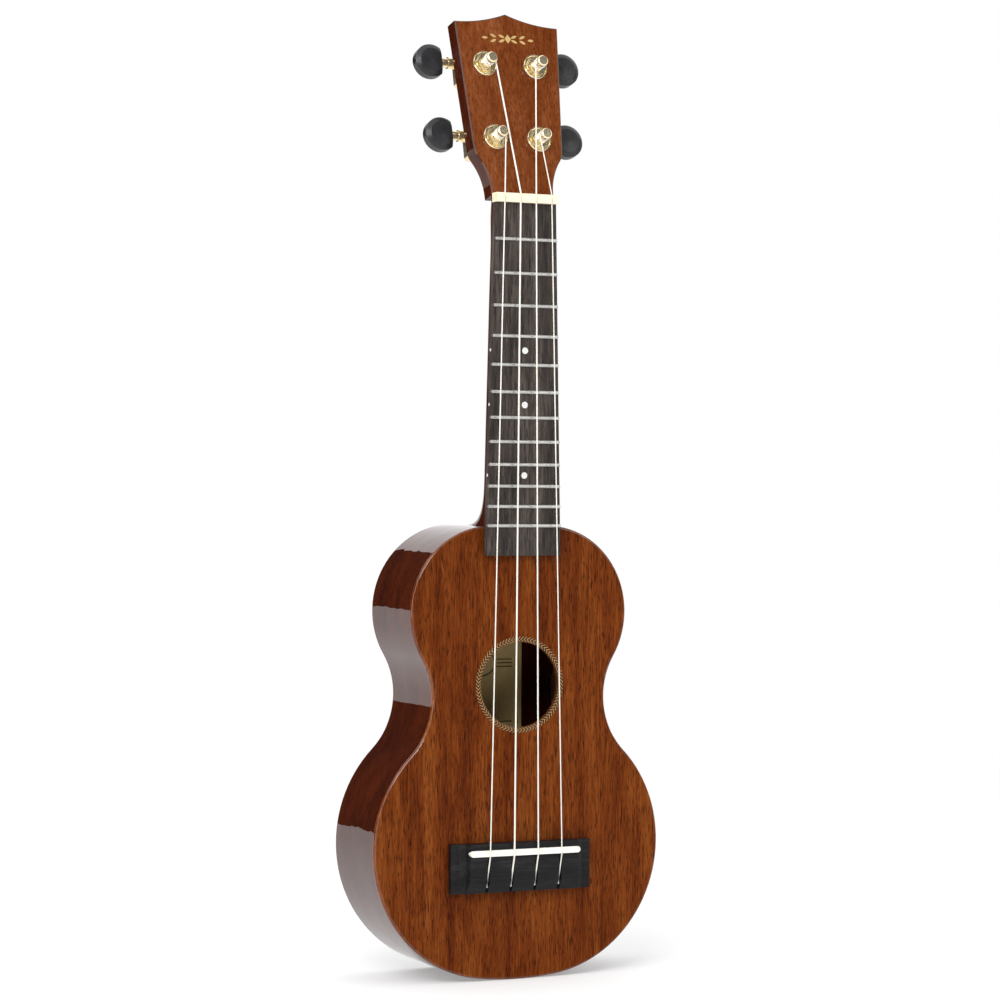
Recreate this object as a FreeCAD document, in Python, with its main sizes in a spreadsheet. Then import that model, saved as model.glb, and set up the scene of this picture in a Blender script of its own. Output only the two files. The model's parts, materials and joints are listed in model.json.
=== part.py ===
import FreeCAD, Part
import math
import os
import Sketcher

# Soprano ukulele, upright on its tail: +X to the viewer's right, +Z up the neck, front facing -Y.
# The origin is under the middle of the bounding box, on the surface the tail stands on.
# Lengths are millimetres and angles degrees. Every body is drawn with its soundboard face on
# y = 0 and then moved by "face_y", so depths below read as distances behind that face.

SIZES = [
    # body
    ("body_length", 243.4), ("body_depth", 55), ("lower_width", 168), ("tail_spread", 27),
    ("tail_radius", 180), ("upper_width", 127.2), ("shoulder_flat", 33.8), ("waist_radius", 42),
    ("top_thickness", 2.2), ("back_thickness", 2.2), ("side_thickness", 1.8), ("edge_radius", 1.5),
    ("lining_width", 5), ("lining_height", 8), ("block_half", 22), ("block_length", 13),
    ("hole_z", 158.1), ("hole_radius", 22.9), ("rosette_width", 3), ("rosette_depth", 1),
    ("brace_height", 7), ("brace_width", 6), ("brace_margin", 0.4), ("upper_brace_drop", 53.5),
    ("lower_brace_z", 125.9), ("back_brace_z", 100.9), ("back_brace_drop", 47.5),
    ("plate_half", 45), ("plate_height", 34), ("plate_thickness", 2), ("label_width", 52),
    ("label_height", 66), ("label_thickness", 0.2),
    # neck and fingerboard
    ("scale_length", 345), ("saddle_z", 69.4), ("nut_thickness", 5), ("nut_width", 36.4),
    ("nut_height", 7.5), ("board_overhang", 16), ("board_nut_width", 35.6), ("board_end_width", 43.6),
    ("board_thickness", 4), ("fret_height", 1), ("fret_width", 2), ("tang_depth", 1.6),
    ("tang_width", 0.6), ("dot_radius", 1.75), ("dot_depth", 1),
    ("neck_depth_nut", 11), ("neck_depth_heel", 13.5), ("heel_depth", 44.5), ("heel_half", 9.8),
    ("heel_sweep", 22),
    # headstock
    ("head_tilt", 13.5), ("head_thickness", 10), ("head_length", 97), ("head_rise", 5.9),
    ("head_top_half", 30.8), ("head_shoulder_half", 26.4), ("head_shoulder", 25.5),
    ("head_neck_half", 18.4), ("head_flare_radius", 35), ("head_shoulder_radius", 10),
    ("head_edge", 0.6), ("head_root", 1),
    ("top_post_x", 15), ("top_post_along", 73.5), ("low_post_x", 12.9), ("low_post_along", 31.9),
    # tuners
    ("post_radius", 3), ("post_height", 10.5), ("post_bevel", 0.6), ("post_lip", 1.6),
    ("waist_start", 2.4), ("waist_end", 6), ("waist_foot", 6.7), ("waist_depth", 0.7),
    ("string_hole_level", 3.2), ("string_hole_radius", 0.6), ("tip_radius", 1.8), ("tip_length", 0.6),
    ("running_gap", 0.05), ("sleeve_radius", 4), ("washer_radius", 7), ("washer_height", 1.1),
    ("washer_floor", 0.35), ("washer_seat", 4.7), ("washer_lip", 0.9),
    ("hex_radius", 5.6), ("hex_height", 1.9), ("shaft_depth", 17), ("worm_offset", 5.6),
    ("worm_root", 1.25), ("worm_outer", 2.35), ("worm_half", 4.2), ("worm_flank", 0.27),
    ("worm_crest", 0.12), ("worm_run_out", 0.5), ("shaft_radius", 1.9), ("collar_step", 0.6),
    ("end_play", 0.25),
    ("gear_teeth", 14), ("gear_outer", 4.15), ("gear_root", 3.0), ("gear_width", 3),
    ("case_wall", 1.2), ("case_half", 6.8), ("case_reach", 9.2), ("case_top", 9.8),
    ("case_depth", 11.6), ("case_radius", 2), ("boss_radius", 3.2), ("boss_reach", 14.6),
    ("cover_thickness", 0.9), ("ear_reach", 11.6), ("ear_half", 2.6), ("ear_thickness", 1.6),
    ("screw_radius", 1), ("screw_length", 7), ("screw_head_radius", 2), ("screw_head_height", 1.1),
    ("button_centre", 24.7), ("button_radius", 9.25), ("button_flat", 5.75),
    ("button_thickness", 8), ("button_bevel", 1.3), ("button_grip", 8),
    ("button_screw_head", 2.1), ("button_screw_radius", 0.9), ("button_screw_start", 2.5),
    ("button_screw_cap", 1),
    # bridge and strings
    ("bridge_half", 41), ("bridge_low", 47.9), ("bridge_high", 74.2), ("bridge_height", 8),
    ("bridge_tail_height", 4.5), ("bridge_slope_z", 53.9), ("ramp_half", 31.8), ("ramp_length", 4.6),
    ("ramp_height", 3),
    ("saddle_half", 32.4), ("saddle_width", 3.3), ("saddle_top", 9.4), ("saddle_depth", 4),
    ("compensation", 1.5), ("string_slot_width", 1.6), ("string_slot_depth", 4.2),
    ("string_slot_high", 64.9), ("nut_spacing", 9.2), ("saddle_spacing", 14.1),
    ("string_end_z", 51.4), ("string_end_depth", 5.2), ("knot_radius", 0.7), ("nut_slot_depth", 1),
    ("nut_slot_gap", 0.14),
    ("winding_length", 2.2), ("string_lift", 0.02), ("string_bend", 2.5),
    ("string_g", 0.7), ("string_c", 0.95), ("string_e", 0.82), ("string_a", 0.64),
    ("winding_clearance", 0.12),
]

STRINGS = ["string_g", "string_c", "string_e", "string_a"]
FRETS = 12
DOTTED_SPACES = [5, 7, 10]
# the tongue in a button's bore, as a share of the shaft's radius
TONGUE_SHARE = 0.8
# one bead of a winding: places along it and heights of its profile, in string thicknesses
BEAD = [(0, 0.55), (0.3, 1), (0.7, 1)]

doc = FreeCAD.newDocument("ukulele")
sheet = doc.addObject("Spreadsheet::Sheet", "sizes")
for row, (name, amount) in enumerate(SIZES, start=1):
    sheet.set("A%d" % row, name)
    sheet.set("B%d" % row, str(amount))
    sheet.setAlias("B%d" % row, name)
doc.recompute()

# Sizes that follow from the driving ones.
FRONT_STAND = "(sizes.saddle_top + sizes.string_c)"
FACE_Y = "(-(sizes.body_depth - %s) / 2)" % FRONT_STAND
LOWER_RADIUS = "((sizes.lower_width - sizes.tail_spread) / 2)"
LOWER_Z = ("(sizes.tail_radius - sqrt(pow(sizes.tail_radius - %s; 2) - pow(sizes.tail_spread / 2; 2)))"
           % LOWER_RADIUS)
UPPER_RADIUS = "((sizes.upper_width - sizes.shoulder_flat) / 2)"
NUT_Z = "(sizes.saddle_z + sizes.compensation + sizes.scale_length)"
NUT_BACK = "(%s + sizes.nut_thickness)" % NUT_Z
BOARD_END = "(%s - sizes.scale_length * (1 - pow(2; -%d / 12)) - sizes.board_overhang)" % (NUT_Z, FRETS)
BACK_INNER = "(sizes.body_depth - sizes.back_thickness)"
CASE_BACK = "(sizes.head_thickness + sizes.case_depth)"
BUTTON_INNER = "(sizes.button_centre - sizes.button_flat)"
BUTTON_OUTER = "(sizes.button_centre + sizes.button_radius)"
TUNERS = [
    ("low_left", -1, "sizes.low_post_x", "sizes.low_post_along", "string_g"),
    ("top_left", -1, "sizes.top_post_x", "sizes.top_post_along", "string_c"),
    ("top_right", 1, "sizes.top_post_x", "sizes.top_post_along", "string_e"),
    ("low_right", 1, "sizes.low_post_x", "sizes.low_post_along", "string_a"),
]

nodes = []


def number(expression):
    """The present value of an expression on the sheet."""
    return float(sheet.evalExpression(str(expression)))


def signed(side, expression):
    return "(%d * (%s))" % (side, expression)


def vector(x, y, z):
    return FreeCAD.Vector(number(x), number(y), number(z))


# ---------------------------------------------------------------- drawing helpers

def place_on_body(item):
    """Seats an object on the instrument's frame: only the shift to the soundboard face."""
    item.setExpression("Placement.Base.y", FACE_Y)


def place_on_head(item, x="0", depth="0", along="0"):
    """Seats an object on the headstock, which leans back about the nut's back edge."""
    item.Placement = FreeCAD.Placement(FreeCAD.Vector(), FreeCAD.Rotation(FreeCAD.Vector(-1, 0, 0), 10))
    item.setExpression("Placement.Rotation.Angle", "sizes.head_tilt")
    tilt = "sizes.head_tilt"
    item.setExpression("Placement.Base.x", x)
    item.setExpression("Placement.Base.y", "%s + (%s) * cos(%s) + (%s) * sin(%s)" % (FACE_Y, depth, tilt, along, tilt))
    item.setExpression("Placement.Base.z", "%s + (%s) * cos(%s) - (%s) * sin(%s)" % (NUT_BACK, along, tilt, depth, tilt))


def new_body(label, keep=True):
    item = doc.addObject("PartDesign::Body", label)
    item.Label = label
    if keep:
        nodes.append(item)
    return item


def new_sketch(item, role, name, offset=None):
    """A sketch on one of the body's own origin planes; offset is along the plane's normal."""
    sketch = item.newObject("Sketcher::SketchObject", item.Label + "_" + name)
    plane = [feature for feature in item.Origin.OriginFeatures if feature.Role == role][0]
    sketch.AttachmentSupport = [(plane, "")]
    sketch.MapMode = "FlatFace"
    if offset is not None:
        sketch.setExpression("AttachmentOffset.Base.z", offset)
    return sketch


def bind(sketch, kind, *where):
    """Adds a dimension whose value is the expression given last."""
    expression = where[-1]
    index = sketch.addConstraint(Sketcher.Constraint(kind, *where[:-1], number(expression)))
    sketch.setExpression("Constraints[%d]" % index, expression)


def pin_point(sketch, edge, end, x, y):
    """Fixes one end of an edge at (x, y), both expressions."""
    bind(sketch, "DistanceX", edge, end, x)
    bind(sketch, "DistanceY", edge, end, y)


def draw_polygon(sketch, corners):
    points = [vector(x, y, "0") for x, y in corners]
    edges = []
    for index, point in enumerate(points):
        following = points[(index + 1) % len(points)]
        edges.append(sketch.addGeometry(Part.LineSegment(point, following)))
    for index, edge in enumerate(edges):
        sketch.addConstraint(Sketcher.Constraint("Coincident", edge, 2, edges[(index + 1) % len(edges)], 1))
        pin_point(sketch, edge, 1, corners[index][0], corners[index][1])


def draw_rectangle(sketch, left, right, low, high):
    draw_polygon(sketch, [(left, low), (right, low), (right, high), (left, high)])


def draw_circle(sketch, x, y, radius):
    edge = sketch.addGeometry(Part.Circle(vector(x, y, "0"), FreeCAD.Vector(0, 0, 1), number(radius)))
    bind(sketch, "Radius", edge, radius)
    pin_point(sketch, edge, 3, x, y)


def draw_arc(sketch, centre, radius, start, end):
    """An arc by numbers only; its constraints come from the caller. Angles in radians, anticlockwise."""
    circle = Part.Circle(FreeCAD.Vector(centre[0], centre[1], 0), FreeCAD.Vector(0, 0, 1), radius)
    return sketch.addGeometry(Part.ArcOfCircle(circle, start, end))


def draw_body_outline(sketch, inset):
    """The figure-of-eight outline, moved inwards by inset: lower bout, waist and upper bout arcs
    tangent to each other, closed by a shallow arc at the tail and a short flat at the shoulder."""
    low_r = number(LOWER_RADIUS)
    up_r = number(UPPER_RADIUS)
    waist_r = number("sizes.waist_radius")
    gap = number(inset)
    tail_r = number("sizes.tail_radius")
    low_c = (number("sizes.tail_spread / 2"), number(LOWER_Z))
    up_c = (number("sizes.shoulder_flat / 2"), number("sizes.body_length") - up_r)
    span = math.hypot(up_c[0] - low_c[0], up_c[1] - low_c[1])
    along = ((low_r + waist_r) ** 2 - (up_r + waist_r) ** 2 + span ** 2) / (2 * span)
    off = math.sqrt((low_r + waist_r) ** 2 - along ** 2)
    unit = ((up_c[0] - low_c[0]) / span, (up_c[1] - low_c[1]) / span)
    waist_c = (low_c[0] + unit[0] * along + unit[1] * off, low_c[1] + unit[1] * along - unit[0] * off)
    low_turn = math.atan2(waist_c[1] - low_c[1], waist_c[0] - low_c[0])
    up_turn = math.atan2(waist_c[1] - up_c[1], waist_c[0] - up_c[0])
    low = {}
    waist = {}
    up = {}
    right = math.pi / 2
    tail_turn = math.asin(low_c[0] / (tail_r - low_r))
    low[1] = draw_arc(sketch, low_c, low_r - gap, tail_turn - right, low_turn)
    waist[1] = draw_arc(sketch, waist_c, waist_r + gap, up_turn + math.pi, low_turn + math.pi)
    up[1] = draw_arc(sketch, up_c, up_r - gap, up_turn, right)
    low[-1] = draw_arc(sketch, (-low_c[0], low_c[1]), low_r - gap, math.pi - low_turn,
                       math.pi + right - tail_turn)
    waist[-1] = draw_arc(sketch, (-waist_c[0], waist_c[1]), waist_r + gap, -low_turn, -up_turn)
    up[-1] = draw_arc(sketch, (-up_c[0], up_c[1]), up_r - gap, right, math.pi - up_turn)
    tail = draw_arc(sketch, (0, tail_r), tail_r - gap, -right - tail_turn, tail_turn - right)
    top = number("sizes.body_length") - gap
    shoulder = sketch.addGeometry(Part.LineSegment(
        FreeCAD.Vector(up_c[0], top, 0), FreeCAD.Vector(-up_c[0], top, 0)))
    joins = [(low[1], 2, waist[1], 2), (waist[1], 1, up[1], 1), (up[1], 2, shoulder, 1),
             (shoulder, 2, up[-1], 1), (up[-1], 2, waist[-1], 2), (waist[-1], 1, low[-1], 1),
             (low[-1], 2, tail, 1), (tail, 2, low[1], 1)]
    for join in joins:
        sketch.addConstraint(Sketcher.Constraint("Tangent", *join))
    bind(sketch, "Radius", tail, "sizes.tail_radius - (%s)" % inset)
    for side in (1, -1):
        bind(sketch, "Radius", low[side], "%s - (%s)" % (LOWER_RADIUS, inset))
        bind(sketch, "Radius", up[side], "%s - (%s)" % (UPPER_RADIUS, inset))
        bind(sketch, "Radius", waist[side], "sizes.waist_radius + (%s)" % inset)
        pin_point(sketch, low[side], 3, signed(side, "sizes.tail_spread / 2"), LOWER_Z)
        pin_point(sketch, up[side], 3, signed(side, "sizes.shoulder_flat / 2"),
                  "sizes.body_length - %s" % UPPER_RADIUS)


def pad(item, sketch, length, backwards=False, both=False):
    feature = item.newObject("PartDesign::Pad", item.Label + "_pad%d" % len(item.Group))
    feature.Profile = sketch
    feature.setExpression("Length", length)
    feature.Reversed = backwards
    feature.Midplane = both
    doc.recompute()
    return feature


def pocket(item, sketch, length, backwards=False, both=False, through=False):
    """Cuts, and checks that something was cut."""
    before = item.Shape.Volume
    feature = item.newObject("PartDesign::Pocket", item.Label + "_pocket%d" % len(item.Group))
    feature.Profile = sketch
    if through:
        feature.Type = "ThroughAll"
    else:
        feature.setExpression("Length", length)
    feature.Reversed = backwards
    feature.Midplane = both
    doc.recompute()
    if item.Shape.Volume > before - 1e-6:
        raise RuntimeError("%s cuts nothing" % feature.Name)
    return feature


def revolve(item, sketch, axis):
    feature = item.newObject("PartDesign::Revolution", item.Label + "_turned")
    feature.Profile = sketch
    feature.ReferenceAxis = (sketch, [axis])
    feature.Angle = 360
    doc.recompute()
    return feature


def soften(item, radius, wanted):
    """Fillets the edges that the test picks out of the body's last feature."""
    base = item.Tip
    names = []
    for index, edge in enumerate(base.Shape.Edges, start=1):
        if wanted(edge.BoundBox):
            names.append("Edge%d" % index)
    feature = item.newObject("PartDesign::Fillet", item.Label + "_fillet%d" % len(item.Group))
    feature.Base = (base, names)
    feature.setExpression("Radius", radius)
    doc.recompute()
    return feature


def bevel(item, size, wanted):
    """Chamfers the edges that the test picks out of the body's last feature."""
    base = item.Tip
    names = []
    for index, edge in enumerate(base.Shape.Edges, start=1):
        if wanted(edge.BoundBox):
            names.append("Edge%d" % index)
    feature = item.newObject("PartDesign::Chamfer", item.Label + "_chamfer%d" % len(item.Group))
    feature.Base = (base, names)
    feature.setExpression("Size", size)
    doc.recompute()
    return feature


def at(value, target):
    return abs(value - target) < 1e-4


def turned_part(label, corners, keep=True):
    """A part turned about its own Y axis from a half section of (radius, depth) corners."""
    item = new_body(label, keep)
    sketch = new_sketch(item, "XY_Plane", "section")
    draw_polygon(sketch, corners)
    revolve(item, sketch, "V_Axis")
    return item


def group(label, members):
    """One node that holds several equal, separate solids."""
    item = doc.addObject("Part::Compound", label)
    item.Label = label
    item.Links = members
    nodes.append(item)
    return item


def plain_solid(label, shape, place):
    """A shape worked out in code from the sheet, with its placement set after it."""
    item = doc.addObject("Part::Feature", label)
    item.Label = label
    item.Shape = shape
    place(item)
    nodes.append(item)
    return item


# ---------------------------------------------------------------- body

def make_soundboard():
    item = new_body("soundboard")
    outline = new_sketch(item, "XZ_Plane", "outline")
    draw_body_outline(outline, "0")
    pad(item, outline, "sizes.top_thickness", backwards=True)
    place_on_body(item)
    doc.recompute()
    soften(item, "sizes.edge_radius", lambda box: at(box.YMin, 0) and at(box.YMax, 0))
    hole = new_sketch(item, "XZ_Plane", "hole")
    draw_circle(hole, "0", "sizes.hole_z", "sizes.hole_radius")
    pocket(item, hole, "sizes.top_thickness", through=True)
    rebate = new_sketch(item, "XZ_Plane", "rebate")
    draw_circle(rebate, "0", "sizes.hole_z", "sizes.hole_radius + sizes.rosette_width")
    pocket(item, rebate, "sizes.rosette_depth")


def make_rosette():
    item = new_body("rosette")
    ring = new_sketch(item, "XZ_Plane", "ring")
    draw_circle(ring, "0", "sizes.hole_z", "sizes.hole_radius")
    draw_circle(ring, "0", "sizes.hole_z", "sizes.hole_radius + sizes.rosette_width")
    pad(item, ring, "sizes.rosette_depth", backwards=True)
    place_on_body(item)


def make_back():
    item = new_body("back")
    outline = new_sketch(item, "XZ_Plane", "outline", "-%s" % BACK_INNER)
    draw_body_outline(outline, "0")
    pad(item, outline, "sizes.back_thickness", backwards=True)
    place_on_body(item)
    doc.recompute()
    depth = number("sizes.body_depth")
    soften(item, "sizes.edge_radius", lambda box: at(box.YMin, depth) and at(box.YMax, depth))


def make_half_ring(label, side, outer, inner, front, length, from_x, keep=True):
    """Half of the ring between two insets of the outline, on one side of x = from_x."""
    item = new_body(label, keep)
    ring = new_sketch(item, "XZ_Plane", "ring", "-(%s)" % front)
    draw_body_outline(ring, outer)
    draw_body_outline(ring, inner)
    pad(item, ring, length, backwards=True)
    clear = new_sketch(item, "XZ_Plane", "clear")
    draw_rectangle(clear, signed(side, from_x), signed(-side, "sizes.lower_width + sizes.upper_width"),
                   "-sizes.body_length", "2 * sizes.body_length")
    pocket(item, clear, "2 * sizes.body_depth", both=True, through=True)
    place_on_body(item)
    return item


def make_sides():
    for name, side in (("side_left", -1), ("side_right", 1)):
        make_half_ring(name, side, "0", "sizes.side_thickness", "sizes.top_thickness",
                       "%s - sizes.top_thickness" % BACK_INNER, "0")


def make_linings():
    fronts = (("lining_top", "sizes.top_thickness"), ("lining_back", "%s - sizes.lining_height" % BACK_INNER))
    for name, front in fronts:
        members = []
        for side in (-1, 1):
            member = make_half_ring("%s_half_%d" % (name, side + 2), side, "sizes.side_thickness",
                                    "sizes.side_thickness + sizes.lining_width", front,
                                    "sizes.lining_height", "sizes.block_half", keep=False)
            members.append(member)
        group(name, members)


def make_box(label, left, right, low, high, front, thickness, keep=True):
    item = new_body(label, keep)
    face = new_sketch(item, "XZ_Plane", "face", "-(%s)" % front)
    draw_rectangle(face, left, right, low, high)
    pad(item, face, thickness, backwards=True)
    place_on_body(item)
    return item


def make_block(label, low, high):
    """An end block: a box trimmed to the inside of the sides."""
    item = new_body(label)
    inside = new_sketch(item, "XZ_Plane", "inside", "-sizes.top_thickness")
    draw_body_outline(inside, "sizes.side_thickness")
    pad(item, inside, "%s - sizes.top_thickness" % BACK_INNER, backwards=True)
    wide = "sizes.lower_width + sizes.upper_width"
    for name, left, right, bottom, top in (
            ("left", "-(%s)" % wide, "-sizes.block_half", "-sizes.body_length", "2 * sizes.body_length"),
            ("right", "sizes.block_half", wide, "-sizes.body_length", "2 * sizes.body_length"),
            ("rest", "-(%s)" % wide, wide, low, high)):
        sketch = new_sketch(item, "XZ_Plane", name)
        draw_rectangle(sketch, left, right, bottom, top)
        pocket(item, sketch, "2 * sizes.body_depth", both=True, through=True)
    place_on_body(item)


def brace_half(radius, centre_x, centre_z, z_high, z_low):
    """Half the length of a brace that stops just short of the linings of a bout."""
    clear = "%s - sizes.side_thickness - sizes.lining_width - sizes.brace_margin" % radius
    far = "max(abs(%s - %s); abs(%s - %s))" % (z_high, centre_z, z_low, centre_z)
    return "%s + sqrt(pow(%s; 2) - pow(%s; 2))" % (centre_x, clear, far)


def make_brace(label, z, centre, front, keep=True):
    """A cross brace with scalloped ends, inside the bout whose arcs have the given centre."""
    radius, centre_x, centre_z = centre
    high = "(%s + sizes.brace_width / 2)" % z
    low = "(%s - sizes.brace_width / 2)" % z
    half = "(%s)" % brace_half(radius, centre_x, centre_z, high, low)
    item = new_body(label, keep)
    side_view = new_sketch(item, "XY_Plane", "length", low)
    inner = "(%s)" % front[0]
    outer = "(%s)" % front[1]
    shy = "(%s + (%s - %s) * 0.3)" % (inner, outer, inner)
    draw_polygon(side_view, [("-%s" % half, inner), (half, inner), (half, shy),
                             ("%s - 2 * sizes.brace_height" % half, outer),
                             ("2 * sizes.brace_height - %s" % half, outer), ("-%s" % half, shy)])
    pad(item, side_view, "sizes.brace_width")
    place_on_body(item)
    return item


def make_braces():
    upper = (UPPER_RADIUS, "sizes.shoulder_flat / 2", "(sizes.body_length - %s)" % UPPER_RADIUS)
    lower = (LOWER_RADIUS, "sizes.tail_spread / 2", LOWER_Z)
    under_top = ("sizes.top_thickness", "sizes.top_thickness + sizes.brace_height")
    over_back = (BACK_INNER, "%s - sizes.brace_height" % BACK_INNER)
    make_brace("top_brace_upper", "(sizes.body_length - sizes.upper_brace_drop)", upper, under_top)
    make_brace("top_brace_lower", "sizes.lower_brace_z", lower, under_top)
    make_brace("back_brace_lower", "sizes.back_brace_z", lower, over_back)
    make_brace("back_brace_upper", "(sizes.body_length - sizes.back_brace_drop)", upper, over_back)
    make_box("bridge_plate", "-sizes.plate_half", "sizes.plate_half",
             "sizes.saddle_z - sizes.plate_height / 2", "sizes.saddle_z + sizes.plate_height / 2",
             "sizes.top_thickness", "sizes.plate_thickness")
    make_box("label", "-sizes.label_width / 2", "sizes.label_width / 2",
             "sizes.hole_z - sizes.label_height / 2", "sizes.hole_z + sizes.label_height / 2",
             "%s - sizes.label_thickness" % BACK_INNER, "sizes.label_thickness")


def make_body_shell():
    make_soundboard()
    make_rosette()
    make_back()
    make_sides()
    make_linings()
    make_block("tail_block", "sizes.block_length", "2 * sizes.body_length")
    make_block("neck_block", "-sizes.body_length", "sizes.body_length - sizes.block_length")
    make_braces()


# ---------------------------------------------------------------- neck, fingerboard, nut

def fret_z(count):
    return "(%s - sizes.scale_length * (1 - pow(2; -%d / 12)))" % (NUT_Z, count)


def space_z(space):
    """The middle of the space between two frets."""
    return "((%s + %s) / 2)" % (fret_z(space - 1), fret_z(space))


def board_half(z):
    """Half the fingerboard's width at a height."""
    return ("(sizes.board_nut_width + (sizes.board_end_width - sizes.board_nut_width)"
            " * (%s - %s) / (%s - %s)) / 2" % (NUT_Z, z, NUT_Z, BOARD_END))


def neck_section(half, depth, power, z):
    """A closed D-shaped wire: flat on y = 0, a rounded belly down to depth."""
    steps = 12
    belly = []
    for step in range(steps + 1):
        turn = math.pi * step / steps
        across = math.copysign(abs(math.cos(turn)) ** (2 / power), math.cos(turn))
        belly.append(FreeCAD.Vector(half * across, depth * abs(math.sin(turn)) ** (2 / power), z))
    curve = Part.BSplineCurve()
    curve.interpolate(belly)
    return Part.Wire([curve.toShape(), Part.makeLine(belly[-1], belly[0])])


def neck_blank():
    """The neck behind the fingerboard: an even D section that sweeps down into the heel."""
    heel_z = number("sizes.body_length")
    sweep = number("sizes.heel_sweep")
    nut_depth = number("sizes.neck_depth_nut")
    shaft_depth = number("sizes.neck_depth_heel")
    heel_depth = number("sizes.heel_depth")
    head_z = number(NUT_BACK)
    heel_half = number(board_half("sizes.body_length"))
    # the heel's belly is deeper than its cap, so that the flat cap keeps its width
    belly = heel_depth / math.sqrt(1 - (number("sizes.heel_half") / heel_half) ** 2)
    sections = []
    for part in (0, 0.08, 0.2, 0.36, 0.55, 0.77, 1.0):
        z = heel_z + sweep * part
        drop = 1 - math.sqrt(1 - (1 - part) ** 2)
        depth = shaft_depth + (belly - shaft_depth) * drop
        sections.append(neck_section(number(board_half(z)), depth, 2, z))
    shaft_start = heel_z + sweep
    runs = 6
    for run in range(1, runs + 1):
        z = shaft_start + (head_z - shaft_start) * run / runs
        depth = shaft_depth + (nut_depth - shaft_depth) * run / runs
        sections.append(neck_section(number(board_half(z)), depth, 2, z))
    blank = Part.makeLoft(sections, True, False)
    wide = number("sizes.nut_width")
    cap = Part.makeBox(2 * wide, belly, sweep * 2, FreeCAD.Vector(-wide, heel_depth, heel_z - sweep / 2))
    return blank.cut(cap)


def draw_head_outline(sketch):
    """Straight tapered sides, an S-curve in to the nut and two hollow curves up to the tip."""
    top_half = number("sizes.head_top_half")
    length = number("sizes.head_length")
    flare_r = number("sizes.head_flare_radius")
    turn_r = number("sizes.head_shoulder_radius")
    neck_half = number("sizes.head_neck_half")
    shoulder = (number("sizes.head_shoulder_half"), number("sizes.head_shoulder"))
    rise = number("sizes.head_rise")
    crown_r = (top_half ** 2 + rise ** 2) / (2 * rise)
    lean = math.atan2(top_half - shoulder[0], length - shoulder[1])
    turn_c = (shoulder[0] - turn_r * math.cos(lean), shoulder[1] + turn_r * math.sin(lean))
    # the flare's arc touches the shoulder's arc from outside, level with the nut's width below
    flare_x = neck_half + flare_r
    flare_y = turn_c[1] - math.sqrt((flare_r + turn_r) ** 2 - (flare_x - turn_c[0]) ** 2)
    touch = math.atan2(flare_y - turn_c[1], flare_x - turn_c[0])
    below = -number("sizes.head_root")
    edges = {}
    for side in (1, -1):
        if side == 1:
            flare = draw_arc(sketch, (flare_x, flare_y), flare_r, touch + math.pi, math.pi)
            turn = draw_arc(sketch, turn_c, turn_r, touch, -lean)
            crown = draw_arc(sketch, (top_half, length + crown_r), crown_r,
                             math.atan2(rise - crown_r, -top_half), -math.pi / 2)
        else:
            flare = draw_arc(sketch, (-flare_x, flare_y), flare_r, 0, -touch)
            turn = draw_arc(sketch, (-turn_c[0], turn_c[1]), turn_r, math.pi + lean, math.pi - touch)
            crown = draw_arc(sketch, (-top_half, length + crown_r), crown_r,
                             -math.pi / 2, math.atan2(rise - crown_r, top_half))
        straight = sketch.addGeometry(Part.LineSegment(
            FreeCAD.Vector(side * shoulder[0], shoulder[1], 0), FreeCAD.Vector(side * top_half, length, 0)))
        neck_line = sketch.addGeometry(Part.LineSegment(
            FreeCAD.Vector(side * neck_half, below, 0), FreeCAD.Vector(side * neck_half, flare_y, 0)))
        edges[side] = (neck_line, flare, turn, straight, crown)
    base = sketch.addGeometry(Part.LineSegment(
        FreeCAD.Vector(-neck_half, below, 0), FreeCAD.Vector(neck_half, below, 0)))
    for side in (1, -1):
        neck_line, flare, turn, straight, crown = edges[side]
        # an arc's first end is the one its turn starts from, so the two sides differ
        first, last = (1, 2) if side == 1 else (2, 1)
        sketch.addConstraint(Sketcher.Constraint("Tangent", neck_line, 2, flare, last))
        sketch.addConstraint(Sketcher.Constraint("Tangent", flare, first, turn, first))
        sketch.addConstraint(Sketcher.Constraint("Tangent", turn, last, straight, 1))
        sketch.addConstraint(Sketcher.Constraint("Coincident", straight, 2, crown, last))
        bind(sketch, "Radius", flare, "sizes.head_flare_radius")
        bind(sketch, "Radius", turn, "sizes.head_shoulder_radius")
        pin_point(sketch, neck_line, 1, signed(side, "sizes.head_neck_half"), "-sizes.head_root")
        bind(sketch, "DistanceX", neck_line, 2, signed(side, "sizes.head_neck_half"))
        pin_point(sketch, straight, 1, signed(side, "sizes.head_shoulder_half"), "sizes.head_shoulder")
        pin_point(sketch, straight, 2, signed(side, "sizes.head_top_half"), "sizes.head_length")
        bind(sketch, "DistanceX", crown, 3, signed(side, "sizes.head_top_half"))
        pin_point(sketch, crown, first, "0", "sizes.head_length + sizes.head_rise")
    sketch.addConstraint(Sketcher.Constraint("Coincident", base, 1, edges[-1][0], 1))
    sketch.addConstraint(Sketcher.Constraint("Coincident", base, 2, edges[1][0], 1))


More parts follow.
